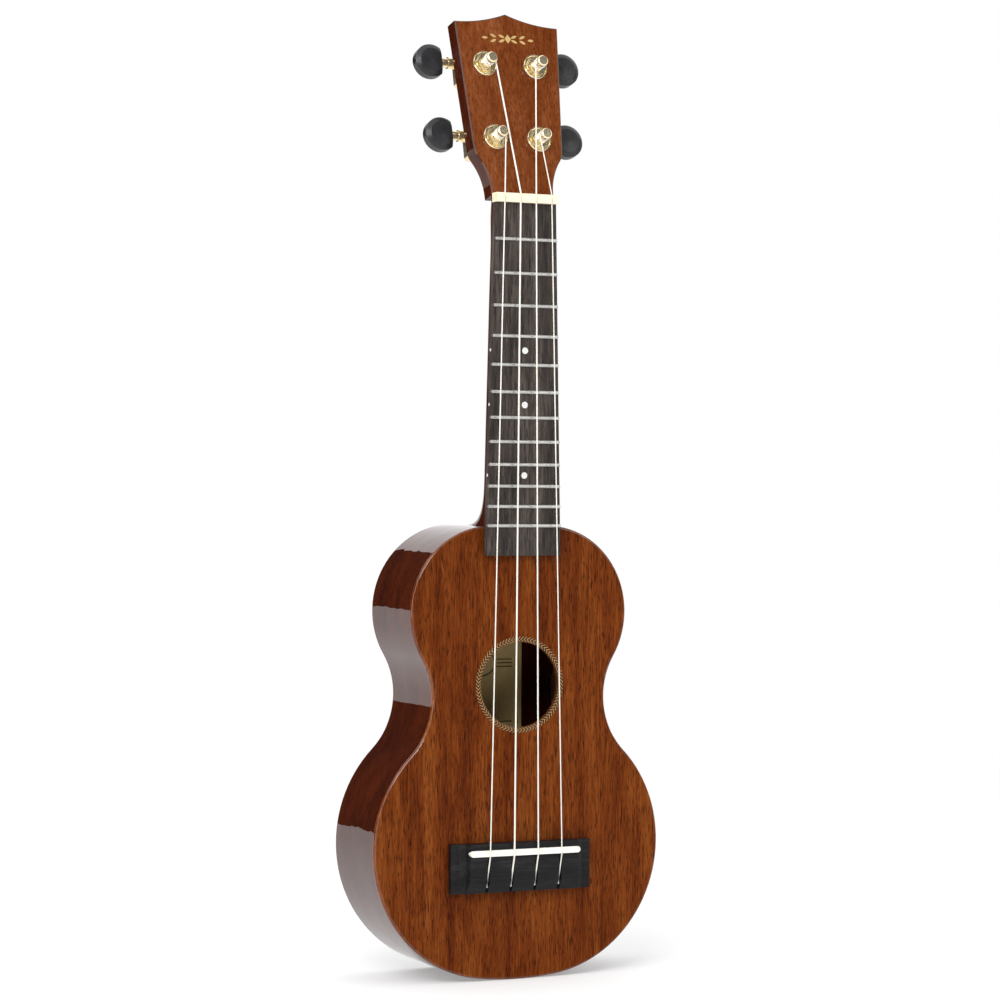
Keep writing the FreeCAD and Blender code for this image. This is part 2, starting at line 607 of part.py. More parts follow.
def make_head_blank():
    item = new_body("head_blank", keep=False)
    outline = new_sketch(item, "XZ_Plane", "outline")
    draw_head_outline(outline)
    pad(item, outline, "sizes.head_thickness", backwards=True)
    thickness = number("sizes.head_thickness")
    top = number("sizes.head_length")
    bevel(item, "sizes.head_edge", lambda box: (box.ZMax > number("sizes.head_shoulder") + 0.1
           and (at(box.YMin, 0) and at(box.YMax, 0) or at(box.YMin, thickness) and at(box.YMax, thickness))))
    holes = new_sketch(item, "XZ_Plane", "post_holes")
    for name, side, x, along, string in TUNERS:
        draw_circle(holes, signed(side, x), along, "sizes.sleeve_radius")
    pocket(item, holes, "sizes.head_thickness", through=True)
    pilots = new_sketch(item, "XZ_Plane", "screw_holes", "-sizes.head_thickness")
    for name, side, x, along, string in TUNERS:
        draw_circle(pilots, signed(side, x), "%s - %s" % (along, ear_screw()), "sizes.screw_radius")
    pocket(item, pilots, "sizes.screw_length", backwards=True)
    place_on_head(item)
    return item


def ear_screw():
    """How far the mounting screw sits below the post."""
    return "(sizes.ear_reach - sizes.ear_half)"


def make_neck():
    blank = doc.addObject("Part::Feature", "neck_blank")
    blank.Shape = neck_blank()
    place_on_body(blank)
    head = make_head_blank()
    whole = doc.addObject("Part::MultiFuse", "neck_whole")
    whole.Shapes = [blank, head]
    seat = doc.addObject("Part::Box", "nut_seat")
    seat.setExpression("Length", "2 * sizes.nut_width")
    seat.setExpression("Width", "sizes.nut_height")
    seat.setExpression("Height", "2 * sizes.nut_thickness")
    seat.setExpression("Placement.Base.x", "-sizes.nut_width")
    seat.setExpression("Placement.Base.y", "%s - sizes.nut_height" % FACE_Y)
    seat.setExpression("Placement.Base.z", "%s - 2 * sizes.nut_thickness" % NUT_BACK)
    neck = doc.addObject("Part::Cut", "neck")
    neck.Label = "neck"
    neck.Base = whole
    neck.Tool = seat
    nodes.append(neck)


def make_fingerboard():
    item = new_body("fingerboard")
    plan = new_sketch(item, "XZ_Plane", "plan")
    low_half = "sizes.board_end_width / 2"
    high_half = "sizes.board_nut_width / 2"
    draw_polygon(plan, [("-%s" % low_half, BOARD_END), (low_half, BOARD_END),
                        (high_half, NUT_Z), ("-%s" % high_half, NUT_Z)])
    pad(item, plan, "sizes.board_thickness")
    slots = new_sketch(item, "XZ_Plane", "fret_slots", "sizes.board_thickness")
    for count in range(1, FRETS + 1):
        draw_rectangle(slots, "-sizes.board_end_width", "sizes.board_end_width",
                       "%s - sizes.tang_width / 2" % fret_z(count), "%s + sizes.tang_width / 2" % fret_z(count))
    pocket(item, slots, "sizes.tang_depth")
    dots = new_sketch(item, "XZ_Plane", "dot_holes", "sizes.board_thickness")
    for space in DOTTED_SPACES:
        draw_circle(dots, "0", space_z(space), "sizes.dot_radius")
    pocket(item, dots, "sizes.dot_depth")
    place_on_body(item)


def make_frets():
    """Fret wires: a domed crown on a tang, as long as the fingerboard is wide there."""
    members = []
    for count in range(1, FRETS + 1):
        item = new_body("fret_%02d" % count, keep=False)
        section = new_sketch(item, "YZ_Plane", "section")
        draw_fret_section(section, fret_z(count))
        pad(item, section, "2 * %s" % board_half(fret_z(count)), both=True)
        place_on_body(item)
        members.append(item)
    group("frets", members)


def draw_fret_section(sketch, z):
    """In the YZ plane: the sketch's x is depth, so the crown is towards negative x."""
    face = number("-sizes.board_thickness")
    half = number("sizes.fret_width") / 2
    height = number("sizes.fret_height")
    tang = number("sizes.tang_width") / 2
    deep = face + number("sizes.tang_depth")
    middle = number(z)
    crown_r = (half ** 2 + height ** 2) / (2 * height)
    spread = math.atan2(half, crown_r - height) if crown_r > height else math.pi / 2
    crown = draw_arc(sketch, (face - height + crown_r, middle), crown_r, math.pi - spread, math.pi + spread)
    corners = [(face, middle - half), (face, middle - tang), (deep, middle - tang),
               (deep, middle + tang), (face, middle + tang), (face, middle + half)]
    lines = []
    for start, end in zip(corners, corners[1:]):
        lines.append(sketch.addGeometry(Part.LineSegment(
            FreeCAD.Vector(start[0], start[1], 0), FreeCAD.Vector(end[0], end[1], 0))))
    board = "-sizes.board_thickness"
    tang_end = "sizes.tang_depth - sizes.board_thickness"
    low_half = "%s - sizes.fret_width / 2" % z
    high_half = "%s + sizes.fret_width / 2" % z
    low_tang = "%s - sizes.tang_width / 2" % z
    high_tang = "%s + sizes.tang_width / 2" % z
    for line, following in zip(lines, lines[1:]):
        sketch.addConstraint(Sketcher.Constraint("Coincident", line, 2, following, 1))
    sketch.addConstraint(Sketcher.Constraint("Coincident", lines[-1], 2, crown, 1))
    sketch.addConstraint(Sketcher.Constraint("Coincident", crown, 2, lines[0], 1))
    spots = [(board, low_half), (board, low_tang), (tang_end, low_tang), (tang_end, high_tang), (board, high_tang)]
    for line, spot in zip(lines, spots):
        pin_point(sketch, line, 1, spot[0], spot[1])
    pin_point(sketch, lines[-1], 2, board, high_half)
    crown_radius = "(pow(sizes.fret_width / 2; 2) + pow(sizes.fret_height; 2)) / (2 * sizes.fret_height)"
    bind(sketch, "DistanceX", crown, 3, "%s - sizes.board_thickness - sizes.fret_height" % crown_radius)


def make_disc(name, radius, length, x, y, z, axis, angle):
    disc = doc.addObject("Part::Cylinder", name)
    disc.setExpression("Radius", radius)
    disc.setExpression("Height", length)
    disc.Placement = FreeCAD.Placement(FreeCAD.Vector(), FreeCAD.Rotation(axis, angle))
    disc.setExpression("Placement.Base.x", x)
    disc.setExpression("Placement.Base.y", "%s + (%s)" % (FACE_Y, y))
    disc.setExpression("Placement.Base.z", z)
    return disc


def make_dots():
    members = []
    for space in DOTTED_SPACES:
        members.append(make_disc("dot_%d" % space, "sizes.dot_radius", "sizes.dot_depth", "0",
                                 "-sizes.board_thickness", space_z(space), FreeCAD.Vector(1, 0, 0), -90))
    group("position_dots", members)


def make_nut():
    item = new_body("nut")
    section = new_sketch(item, "YZ_Plane", "section")
    draw_polygon(section, [("0", NUT_Z), ("0", NUT_BACK), ("-sizes.nut_height * 0.8", NUT_BACK),
                           ("-sizes.nut_height", "%s + sizes.nut_thickness / 2" % NUT_Z),
                           ("-sizes.nut_height", NUT_Z)])
    pad(item, section, "sizes.nut_width", both=True)
    slots = new_sketch(item, "XZ_Plane", "slots", "sizes.nut_height")
    for index, string in enumerate(STRINGS):
        place = string_x(index, "sizes.nut_spacing")
        half = "(sizes.%s / 2 + sizes.nut_slot_gap)" % string
        draw_rectangle(slots, "%s - %s" % (place, half), "%s + %s" % (place, half),
                       "%s - 1" % NUT_Z, "%s + 1" % NUT_BACK)
    pocket(item, slots, "sizes.nut_slot_depth")
    place_on_body(item)


def string_x(index, spacing):
    return "(%s * %s)" % (index - (len(STRINGS) - 1) / 2, spacing)


# ---------------------------------------------------------------- bridge and saddle

def make_bridge():
    item = new_body("bridge")
    section = new_sketch(item, "YZ_Plane", "section")
    draw_polygon(section, [("0", "sizes.bridge_low"), ("0", "sizes.bridge_high"),
                           ("-sizes.bridge_height", "sizes.bridge_high"),
                           ("-sizes.bridge_height", "sizes.bridge_slope_z"),
                           ("-sizes.bridge_tail_height", "sizes.bridge_low")])
    pad(item, section, "2 * sizes.bridge_half", both=True)
    for side in (1, -1):
        ramp = new_sketch(item, "XY_Plane", "ramp_%d" % (side + 2))
        scoop = "(sizes.bridge_height - sizes.ramp_height)"
        draw_polygon(ramp, [(signed(side, "sizes.ramp_half"), "-sizes.bridge_height - 1"),
                            (signed(side, "sizes.ramp_half"), "-sizes.bridge_height"),
                            (signed(side, "sizes.ramp_half + 0.3 * sizes.ramp_length"),
                             "-sizes.ramp_height - 0.35 * %s" % scoop),
                            (signed(side, "sizes.ramp_half + sizes.ramp_length"), "-sizes.ramp_height"),
                            (signed(side, "sizes.bridge_half + 1"), "-sizes.ramp_height"),
                            (signed(side, "sizes.bridge_half + 1"), "-sizes.bridge_height - 1")])
        pocket(item, ramp, "4 * sizes.bridge_high", both=True)
    slot = new_sketch(item, "XZ_Plane", "saddle_slot", "sizes.bridge_height")
    draw_round_slot(slot, "sizes.saddle_half", "sizes.saddle_width", "sizes.saddle_z")
    pocket(item, slot, "sizes.saddle_depth")
    slots = new_sketch(item, "XZ_Plane", "string_slots", "sizes.bridge_height")
    for index in range(len(STRINGS)):
        place = string_x(index, "sizes.saddle_spacing")
        draw_rectangle(slots, "%s - sizes.string_slot_width / 2" % place, "%s + sizes.string_slot_width / 2" % place,
                       "sizes.bridge_low - 1", "sizes.string_slot_high")
    pocket(item, slots, "sizes.string_slot_depth")
    place_on_body(item)


def draw_round_slot(sketch, half, width, z):
    """A slot along X with round ends."""
    reach = number(half) - number(width) / 2
    radius = number(width) / 2
    level = number(z)
    right = draw_arc(sketch, (reach, level), radius, -math.pi / 2, math.pi / 2)
    left = draw_arc(sketch, (-reach, level), radius, math.pi / 2, 3 * math.pi / 2)
    high = sketch.addGeometry(Part.LineSegment(
        FreeCAD.Vector(reach, level + radius, 0), FreeCAD.Vector(-reach, level + radius, 0)))
    low = sketch.addGeometry(Part.LineSegment(
        FreeCAD.Vector(-reach, level - radius, 0), FreeCAD.Vector(reach, level - radius, 0)))
    for join in ((right, 2, high, 1), (high, 2, left, 1), (left, 2, low, 1), (low, 2, right, 1)):
        sketch.addConstraint(Sketcher.Constraint("Tangent", *join))
    bind(sketch, "Radius", right, "%s / 2" % width)
    pin_point(sketch, right, 3, "%s - %s / 2" % (half, width), z)
    pin_point(sketch, left, 3, "%s / 2 - %s" % (width, half), z)


def make_saddle():
    item = new_body("saddle")
    plan = new_sketch(item, "XZ_Plane", "plan", "sizes.bridge_height - sizes.saddle_depth")
    draw_round_slot(plan, "sizes.saddle_half", "sizes.saddle_width", "sizes.saddle_z")
    pad(item, plan, "sizes.saddle_top - sizes.bridge_height + sizes.saddle_depth")
    place_on_body(item)


def make_neck_parts():
    make_neck()
    make_fingerboard()
    make_frets()
    make_dots()
    make_nut()
    make_bridge()
    make_saddle()


# ---------------------------------------------------------------- tuning machines

def post_level(below_cap):
    """Depth of a place on a post that lies below_cap under the post's top."""
    return "(%s - sizes.post_height)" % below_cap


def make_post(name, side, x, along, string):
    """Turned post: tip below the wheel, plain barrel in the bushing, waist for the windings, cap."""
    wheel_front = "sizes.shaft_depth - sizes.gear_width / 2"
    waist = "sizes.post_radius - sizes.waist_depth"
    radius = "sizes.post_radius"
    tip_end = "sizes.shaft_depth + sizes.gear_width / 2 + sizes.tip_length"
    corners = [("0", post_level("0")), ("%s - sizes.post_bevel" % radius, post_level("0")),
               (radius, post_level("sizes.post_bevel")), (radius, post_level("sizes.post_lip")),
               (waist, post_level("sizes.waist_start")), (waist, post_level("sizes.waist_end")),
               (radius, post_level("sizes.waist_foot")), (radius, wheel_front),
               ("sizes.tip_radius", wheel_front), ("sizes.tip_radius", tip_end), ("0", tip_end)]
    item = turned_part("post_" + name, corners)
    hole = new_sketch(item, "XY_Plane", "string_hole", "0")
    draw_circle(hole, "0", post_level("sizes.string_hole_level"), "sizes.string_hole_radius")
    pocket(item, hole, "4 * sizes.post_radius", both=True, through=True)
    place_on_head(item, signed(side, x), "0", along)


def winding_turns(string):
    """Whole turns of a string that fit on the lower part of the post's waist."""
    return int(number("sizes.winding_length / sizes.%s" % string))


def make_winding(name, side, x, along, string):
    """The turns of string on a post, as one beaded collar around the waist."""
    bore = "(sizes.post_radius - sizes.waist_depth)"
    thick = "sizes.%s" % string
    low = post_level("sizes.waist_end")
    corners = [(bore, low)]
    turns = winding_turns(string)
    for turn in range(turns):
        for share, height in BEAD:
            corners.append(("%s + %s * %s" % (bore, height, thick), "%s - %s * %s" % (low, turn + share, thick)))
    corners.append(("%s + %s * %s" % (bore, BEAD[0][1], thick), "%s - %s * %s" % (low, turns, thick)))
    corners.append((bore, "%s - %s * %s" % (low, turns, thick)))
    item = turned_part("winding_" + name, corners)
    place_on_head(item, signed(side, x), "0", along)


def make_gear(name, side, x, along, string):
    """The worm wheel, with straight tooth gaps cut and repeated round it."""
    item = new_body("gear_" + name)
    disc = new_sketch(item, "XZ_Plane", "disc", "-sizes.shaft_depth")
    draw_circle(disc, "0", "0", "sizes.gear_outer")
    draw_circle(disc, "0", "0", "sizes.tip_radius")
    pad(item, disc, "sizes.gear_width", both=True)
    gap = new_sketch(item, "XZ_Plane", "tooth_gap", "-sizes.shaft_depth")
    pitch = "(pi * sizes.gear_outer / sizes.gear_teeth)"
    draw_polygon(gap, [("-%s * 0.38" % pitch, "sizes.gear_root"), ("%s * 0.38" % pitch, "sizes.gear_root"),
                       ("%s * 0.8" % pitch, "sizes.gear_outer + 0.5"), ("-%s * 0.8" % pitch, "sizes.gear_outer + 0.5")])
    cut = pocket(item, gap, "2 * sizes.gear_width", both=True)
    ring = item.newObject("PartDesign::PolarPattern", item.Label + "_teeth")
    ring.Originals = [cut]
    ring.Axis = (gap, ["N_Axis"])
    ring.Angle = 360
    ring.setExpression("Occurrences", "sizes.gear_teeth")
    item.Tip = ring
    doc.recompute()
    place_on_head(item, signed(side, x), "0", along)


def worm_shape(side):
    """Shaft along X with one thread, in mesh with the wheel at the shaft's middle (x = 0)."""
    root = number("sizes.worm_root")
    outer = number("sizes.worm_outer")
    half = number("sizes.worm_half")
    pitch_r = number("sizes.worm_offset") - (root + outer) / 2
    lead = 2 * math.pi * pitch_r / number("sizes.gear_teeth")
    flank = lead * number("sizes.worm_flank")
    crest = lead * number("sizes.worm_crest")
    turns = math.floor(2 * (half - number("sizes.worm_run_out")) / lead)
    length = turns * lead
    helix = Part.makeHelix(lead, length, outer)
    inside = root - 0.1
    profile = Part.makePolygon([FreeCAD.Vector(inside, 0, -flank), FreeCAD.Vector(outer, 0, -crest),
                                FreeCAD.Vector(outer, 0, crest), FreeCAD.Vector(inside, 0, flank),
                                FreeCAD.Vector(inside, 0, -flank)])
    thread = Part.Wire(helix).makePipeShell([profile], True, True)
    core = Part.makeCylinder(root, 2 * half, FreeCAD.Vector(0, 0, -half))
    thread.translate(FreeCAD.Vector(0, 0, -length / 2))
    worm = core.fuse(thread)
    # the thread's middle turn faces the wheel, whose gap lies on the line of centres
    worm.rotate(FreeCAD.Vector(0, 0, 0), FreeCAD.Vector(0, 0, 1), 180 if turns % 2 == 1 else 0)
    worm.rotate(FreeCAD.Vector(0, 0, 0), FreeCAD.Vector(0, 1, 0), 90)
    bearing = number("sizes.shaft_radius")
    inner = number(BUTTON_INNER)
    grip = number("sizes.button_grip")
    collar_start = number("sizes.boss_reach + sizes.end_play")
    outward = FreeCAD.Vector(1, 0, 0)
    collar = Part.makeCylinder(number("sizes.boss_radius - sizes.collar_step"), inner - collar_start,
                               outward * collar_start, outward)
    shaft = Part.makeCylinder(bearing, inner - half, outward * half, outward)
    tongue = Part.makeCylinder(bearing * TONGUE_SHARE, grip, outward * inner, outward)
    drill = Part.makeCylinder(number("sizes.button_screw_radius"), grip,
                              outward * (inner + number("sizes.button_screw_start") - 0.5), outward)
    shape = worm.fuse([shaft, collar, tongue]).cut(drill).removeSplitter()
    if side < 0:
        shape = shape.mirror(FreeCAD.Vector(0, 0, 0), FreeCAD.Vector(1, 0, 0))
    return shape


def make_worm_shaft(name, side, x, along, string):
    def place(item):
        place_on_head(item, signed(side, x), "sizes.shaft_depth", "%s + sizes.worm_offset" % along)
    plain_solid("worm_shaft_" + name, worm_shape(side), place)


def make_button(name, side, x, along, string):
    """A turned button with stepped, crowned faces, cut flat on its inner side."""
    rim = "sizes.button_radius"
    half = "sizes.button_thickness / 2"
    slope = "sizes.button_bevel"
    item = turned_part("button_" + name, [
        ("0", "-%s" % half), ("%s - 2 * %s" % (rim, slope), "0.4 - %s" % half),
        ("%s - 0.9 * %s" % (rim, slope), "%s / 2 + 0.4 - %s" % (slope, half)),
        (rim, "1.4 * %s - %s" % (slope, half)), (rim, "%s - 1.4 * %s" % (half, slope)),
        ("%s - 0.9 * %s" % (rim, slope), "%s - 0.4 - %s / 2" % (half, slope)),
        ("%s - 2 * %s" % (rim, slope), "%s - 0.4" % half), ("0", half)])
    flat = new_sketch(item, "XZ_Plane", "flat")
    draw_rectangle(flat, signed(-side, "sizes.button_flat"), signed(-side, "sizes.button_radius + 1"),
                   "-sizes.button_radius", "sizes.button_radius")
    pocket(item, flat, "2 * sizes.button_thickness", both=True, through=True)
    bores = (("shaft_bore", "-sizes.button_flat", "sizes.button_grip", "sizes.shaft_radius * %s" % TONGUE_SHARE),
             ("screw_bore", "sizes.button_grip - sizes.button_flat",
              "sizes.button_radius + sizes.button_flat - sizes.button_grip", "sizes.button_screw_radius"),
             ("screw_seat", "sizes.button_radius - sizes.button_screw_cap", "sizes.button_screw_cap",
              "sizes.button_screw_head"))
    for label, start, length, bore in bores:
        sketch = new_sketch(item, "YZ_Plane", label, signed(side, start))
        draw_circle(sketch, "0", "0", bore)
        pocket(item, sketch, length, backwards=side > 0)
    place_on_head(item, signed(side, "%s + sizes.button_centre" % x), "sizes.shaft_depth",
                  "%s + sizes.worm_offset" % along)


def make_button_screw(name, side, x, along, string):
    item = new_body("button_screw_" + name)
    section = new_sketch(item, "XY_Plane", "section")
    shank = "sizes.button_screw_radius"
    head = "sizes.button_screw_head - 0.1"
    draw_polygon(section, [(signed(side, "%s + sizes.button_screw_start" % BUTTON_INNER), "0"),
                           (signed(side, "%s + sizes.button_screw_start" % BUTTON_INNER), shank),
                           (signed(side, "%s - sizes.button_screw_cap" % BUTTON_OUTER), shank),
                           (signed(side, "%s - sizes.button_screw_cap" % BUTTON_OUTER), head),
                           (signed(side, "%s - 0.3" % BUTTON_OUTER), head),
                           (signed(side, "%s - 0.05" % BUTTON_OUTER), "sizes.button_screw_head - 0.7"),
                           (signed(side, "%s - 0.05" % BUTTON_OUTER), "0")])
    revolve(item, section, "H_Axis")
    slot = new_sketch(item, "YZ_Plane", "slot", signed(side, "%s - 0.05" % BUTTON_OUTER))
    draw_rectangle(slot, "-0.25", "0.25", "-sizes.button_screw_head", "sizes.button_screw_head")
    pocket(item, slot, "0.4", backwards=side < 0)
    place_on_head(item, signed(side, x), "sizes.shaft_depth", "%s + sizes.worm_offset" % along)


def make_housing(name, side, x, along, string):
    """The die-cast case behind the headstock: hollow box, shaft boss, and an ear for the screw."""
    item = new_body("housing_" + name)
    outer = new_sketch(item, "XZ_Plane", "outer", "-sizes.head_thickness")
    draw_rectangle(outer, signed(side, "-sizes.case_half"), signed(side, "sizes.case_reach"),
                   "-sizes.case_half", "sizes.case_top")
    pad(item, outer, "sizes.case_depth", backwards=True)
    front = number("sizes.head_thickness")
    rear = number(CASE_BACK)
    soften(item, "sizes.case_radius", lambda box: at(box.YMin, front) and at(box.YMax, rear))
    boss = new_sketch(item, "YZ_Plane", "boss", signed(side, "sizes.case_reach - sizes.case_wall"))
    draw_circle(boss, "sizes.shaft_depth", "sizes.worm_offset", "sizes.boss_radius")
    pad(item, boss, "sizes.boss_reach - sizes.case_reach + sizes.case_wall", backwards=side < 0)
    ear = new_sketch(item, "XZ_Plane", "ear", "-sizes.head_thickness")
    draw_rectangle(ear, "-sizes.ear_half", "sizes.ear_half", "-sizes.ear_reach", "-sizes.case_half + 1")
    pad(item, ear, "sizes.ear_thickness", backwards=True)
    hollow = new_sketch(item, "XZ_Plane", "hollow", "-%s" % CASE_BACK)
    draw_rectangle(hollow, signed(side, "sizes.case_wall - sizes.case_half"),
                   signed(side, "sizes.case_reach - sizes.case_wall"),
                   "sizes.case_wall - sizes.case_half", "sizes.case_top - sizes.case_wall")
    pocket(item, hollow, "sizes.case_depth - sizes.case_wall", backwards=True)
    front_bore = new_sketch(item, "XZ_Plane", "post_bore", "-sizes.head_thickness")
    draw_circle(front_bore, "0", "0", "sizes.post_radius + sizes.running_gap")
    draw_circle(front_bore, "0", "-%s" % ear_screw(), "sizes.screw_radius")
    pocket(item, front_bore, "sizes.case_wall + sizes.ear_thickness", backwards=False)
    shaft_bore = new_sketch(item, "YZ_Plane", "shaft_bore", signed(side, "sizes.boss_reach"))
    draw_circle(shaft_bore, "sizes.shaft_depth", "sizes.worm_offset", "sizes.shaft_radius + sizes.running_gap")
    pocket(item, shaft_bore, "sizes.boss_reach - sizes.case_reach + 2 * sizes.case_wall", backwards=side < 0)
    place_on_head(item, signed(side, x), "0", along)


def make_cover(name, side, x, along, string):
    item = new_body("cover_" + name, keep=False)
    plate = new_sketch(item, "XZ_Plane", "plate", "-%s" % CASE_BACK)
    draw_rectangle(plate, signed(side, "-sizes.case_half"), signed(side, "sizes.case_reach"),
                   "-sizes.case_half", "sizes.case_top")
    pad(item, plate, "sizes.cover_thickness", backwards=True)
    front = number(CASE_BACK)
    rear = number("%s + sizes.cover_thickness" % CASE_BACK)
    soften(item, "sizes.case_radius", lambda box: at(box.YMin, front) and at(box.YMax, rear))
    place_on_head(item, signed(side, x), "0", along)
    return item


def make_bushing(name, side, x, along, string):
    """A hexagon on a round sleeve that passes through washer and headstock."""
    item = new_body("bushing_" + name, keep=False)
    bore = "sizes.post_radius + sizes.running_gap"
    section = new_sketch(item, "XY_Plane", "sleeve")
    draw_polygon(section, [(bore, "-sizes.washer_height - sizes.hex_height"),
                           ("sizes.post_radius + 1", "-sizes.washer_height - sizes.hex_height"),
                           ("sizes.sleeve_radius", "-sizes.washer_height"),
                           ("sizes.sleeve_radius", "sizes.head_thickness - 1"),
                           (bore, "sizes.head_thickness - 1")])
    revolve(item, section, "V_Axis")
    flats = new_sketch(item, "XZ_Plane", "hexagon", "sizes.washer_height")
    corners = []
    for corner in range(6):
        corners.append(("sizes.hex_radius * cos(%d)" % (60 * corner), "sizes.hex_radius * sin(%d)" % (60 * corner)))
    draw_polygon(flats, corners)
    draw_circle(flats, "0", "0", bore)
    pad(item, flats, "sizes.hex_height")
    place_on_head(item, signed(side, x), "0", along)
    return item


def make_washer(name, side, x, along, string):
    """A washer with a raised rim and, around the hexagon's seat, a sunk ring."""
    rim = "sizes.washer_radius"
    sleeve = "sizes.sleeve_radius"
    lip = "sizes.washer_lip"
    item = turned_part("washer_" + name, [
        (sleeve, "0"), (sleeve, "-sizes.washer_height"), ("sizes.washer_seat", "-sizes.washer_height"),
        ("sizes.washer_seat", "-sizes.washer_floor"), ("%s - %s" % (rim, lip), "-sizes.washer_floor"),
        ("%s - 0.85 * %s" % (rim, lip), "-sizes.washer_height"),
        ("%s - 0.35 * %s" % (rim, lip), "-sizes.washer_height"), (rim, "-0.6 * sizes.washer_height"),
        (rim, "0")], keep=False)
    place_on_head(item, signed(side, x), "0", along)
    return item


def make_mounting_screw(name, side, x, along, string):
    back = "(sizes.head_thickness + sizes.ear_thickness)"
    item = turned_part("screw_" + name, [
        ("0", "sizes.head_thickness - sizes.screw_length"),
        ("sizes.screw_radius", "sizes.head_thickness - sizes.screw_length + 1.5"), ("sizes.screw_radius", back),
        ("sizes.screw_head_radius", back), ("sizes.screw_head_radius", "%s + 0.4 * sizes.screw_head_height" % back),
        ("sizes.screw_head_radius * 0.6", "%s + sizes.screw_head_height" % back),
        ("0", "%s + sizes.screw_head_height" % back)], keep=False)
    place_on_head(item, signed(side, x), "0", "%s - %s" % (along, ear_screw()))
    return item


def make_tuners():
    for tuner in TUNERS:
        make_housing(*tuner)
        make_worm_shaft(*tuner)
        make_button(*tuner)
        make_button_screw(*tuner)
        make_post(*tuner)
        make_gear(*tuner)
        make_winding(*tuner)
    for label, maker in (("tuner_covers", make_cover), ("bushings", make_bushing),
                         ("face_washers", make_washer), ("mounting_screws", make_mounting_screw)):
        group(label, [maker(*tuner) for tuner in TUNERS])


# ---------------------------------------------------------------- strings

def head_point(x, depth, along):
    """A point of the headstock's own frame, on the instrument's frame before its shift."""
    tilt = math.radians(number("sizes.head_tilt"))
    y = depth * math.cos(tilt) + along * math.sin(tilt)
    z = number(NUT_BACK) + along * math.cos(tilt) - depth * math.sin(tilt)
    return FreeCAD.Vector(x, y, z)


def head_frame(point):
    """The same point as (x, depth, along) of the headstock's frame."""
    tilt = math.radians(number("sizes.head_tilt"))
    rise = point.z - number(NUT_BACK)
    return (point.x, point.y * math.cos(tilt) - rise * math.sin(tilt),
            point.y * math.sin(tilt) + rise * math.cos(tilt))


def string_points(index, string):
    """The knot in the bridge, and the string's middle over the edges of saddle and nut."""
    radius = number("sizes." + string) / 2
    at_saddle = number(string_x(index, "sizes.saddle_spacing"))
    at_nut = number(string_x(index, "sizes.nut_spacing"))
    knot = FreeCAD.Vector(at_saddle, -number("sizes.string_end_depth"), number("sizes.string_end_z"))
    over_saddle = FreeCAD.Vector(at_saddle, -number("sizes.saddle_top + sizes.string_lift") - radius,
                                 number("sizes.saddle_z - sizes.saddle_width / 2"))
    over_nut = FreeCAD.Vector(at_nut, -number("sizes.nut_height - sizes.nut_slot_depth + sizes.string_lift") - radius,
                              number(NUT_BACK))
    return knot, over_saddle, over_nut


def bend(before, corner, after, radius):
    """A tangent arc that rounds the corner between two straight runs, and its two ends."""
    back = (before - corner).normalize()
    ahead = (after - corner).normalize()
    half = back.getAngle(ahead) / 2
    reach = radius / math.tan(half)
    inward = (back + ahead).normalize()
    start = corner + back * reach
    end = corner + ahead * reach
    middle = corner + inward * (radius / math.sin(half) - radius)
    return Part.Arc(start, middle, end).toShape(), start, end


def post_arrival(start, side, tuner, coil, level):
    """Where a string from the nut touches its coil's circle on the inner side of the post."""
    name, side, x, along, string = tuner
    from_x, from_depth, from_along = head_frame(start)
    centre_x = side * number(x)
    centre_along = number(along)
    away = math.hypot(centre_x - from_x, centre_along - from_along)
    heading = math.atan2(centre_along - from_along, centre_x - from_x)
    swing = side * math.asin(coil / away)
    turn = heading + swing
    run = math.sqrt(away ** 2 - coil ** 2)
    touch = head_point(from_x + run * math.cos(turn), level, from_along + run * math.sin(turn))
    centre = head_point(centre_x, level, centre_along)
    return touch, centre


def make_string(index, tuner):
    """One string: knot, saddle, nut, then three quarters of a turn round its post."""
    name, side, x, along, string = tuner
    radius = number("sizes." + string) / 2
    knot, over_saddle, over_nut = string_points(index, string)
    coil = number("sizes.post_radius - sizes.waist_depth + sizes.winding_clearance") + radius
    level = number(post_level("sizes.waist_end")) - (winding_turns(string) + 0.75) * 2 * radius
    touch, centre = post_arrival(over_nut, side, tuner, coil, level)
    ease = number("sizes.string_bend")
    saddle_arc, saddle_start, saddle_end = bend(knot, over_saddle, over_nut, ease)
    nut_arc, nut_start, nut_end = bend(over_saddle, over_nut, touch, ease)
    onward = (touch - over_nut).normalize()
    outward = (touch - centre).normalize()
    last = centre - onward * coil
    halfway = centre + (onward - outward).normalize() * coil
    turn_arc = Part.Arc(touch, halfway, last).toShape()
    edges = [Part.makeLine(knot, saddle_start), saddle_arc, Part.makeLine(saddle_end, nut_start), nut_arc,
             Part.makeLine(nut_end, touch), turn_arc]
    path = Part.Wire(edges)
    direction = over_saddle - knot
    section = Part.Wire(Part.makeCircle(radius, knot, direction))
    tube = path.makePipeShell([section], True, False)
    shape = tube.fuse(Part.makeSphere(number("sizes.knot_radius"), knot))
    ratio = tube.Volume / (math.pi * radius ** 2 * path.Length)
    if abs(ratio - 1) > 0.01:
        raise RuntimeError("%s has %.3f of its section times its length" % (string, ratio))
    plain_solid(string, shape, place_on_body)


def make_strings():
    for index, tuner in enumerate(TUNERS):
        make_string(index, tuner)


# ---------------------------------------------------------------- build, check and write

def check_and_write():
    doc.recompute()
    for item in doc.Objects:
        if "Invalid" in item.State or "Error" in item.State:
            raise RuntimeError("%s did not build: %s" % (item.Label, item.State))
    for item in nodes:
        if item.Shape.isNull() or not item.Shape.isValid():
            raise RuntimeError("%s has no valid shape" % item.Label)
    os.makedirs("parts", exist_ok=True)
    for item in nodes:
        item.Shape.exportStep("parts/%s.step" % item.Label)
    print("%d nodes written" % len(nodes))


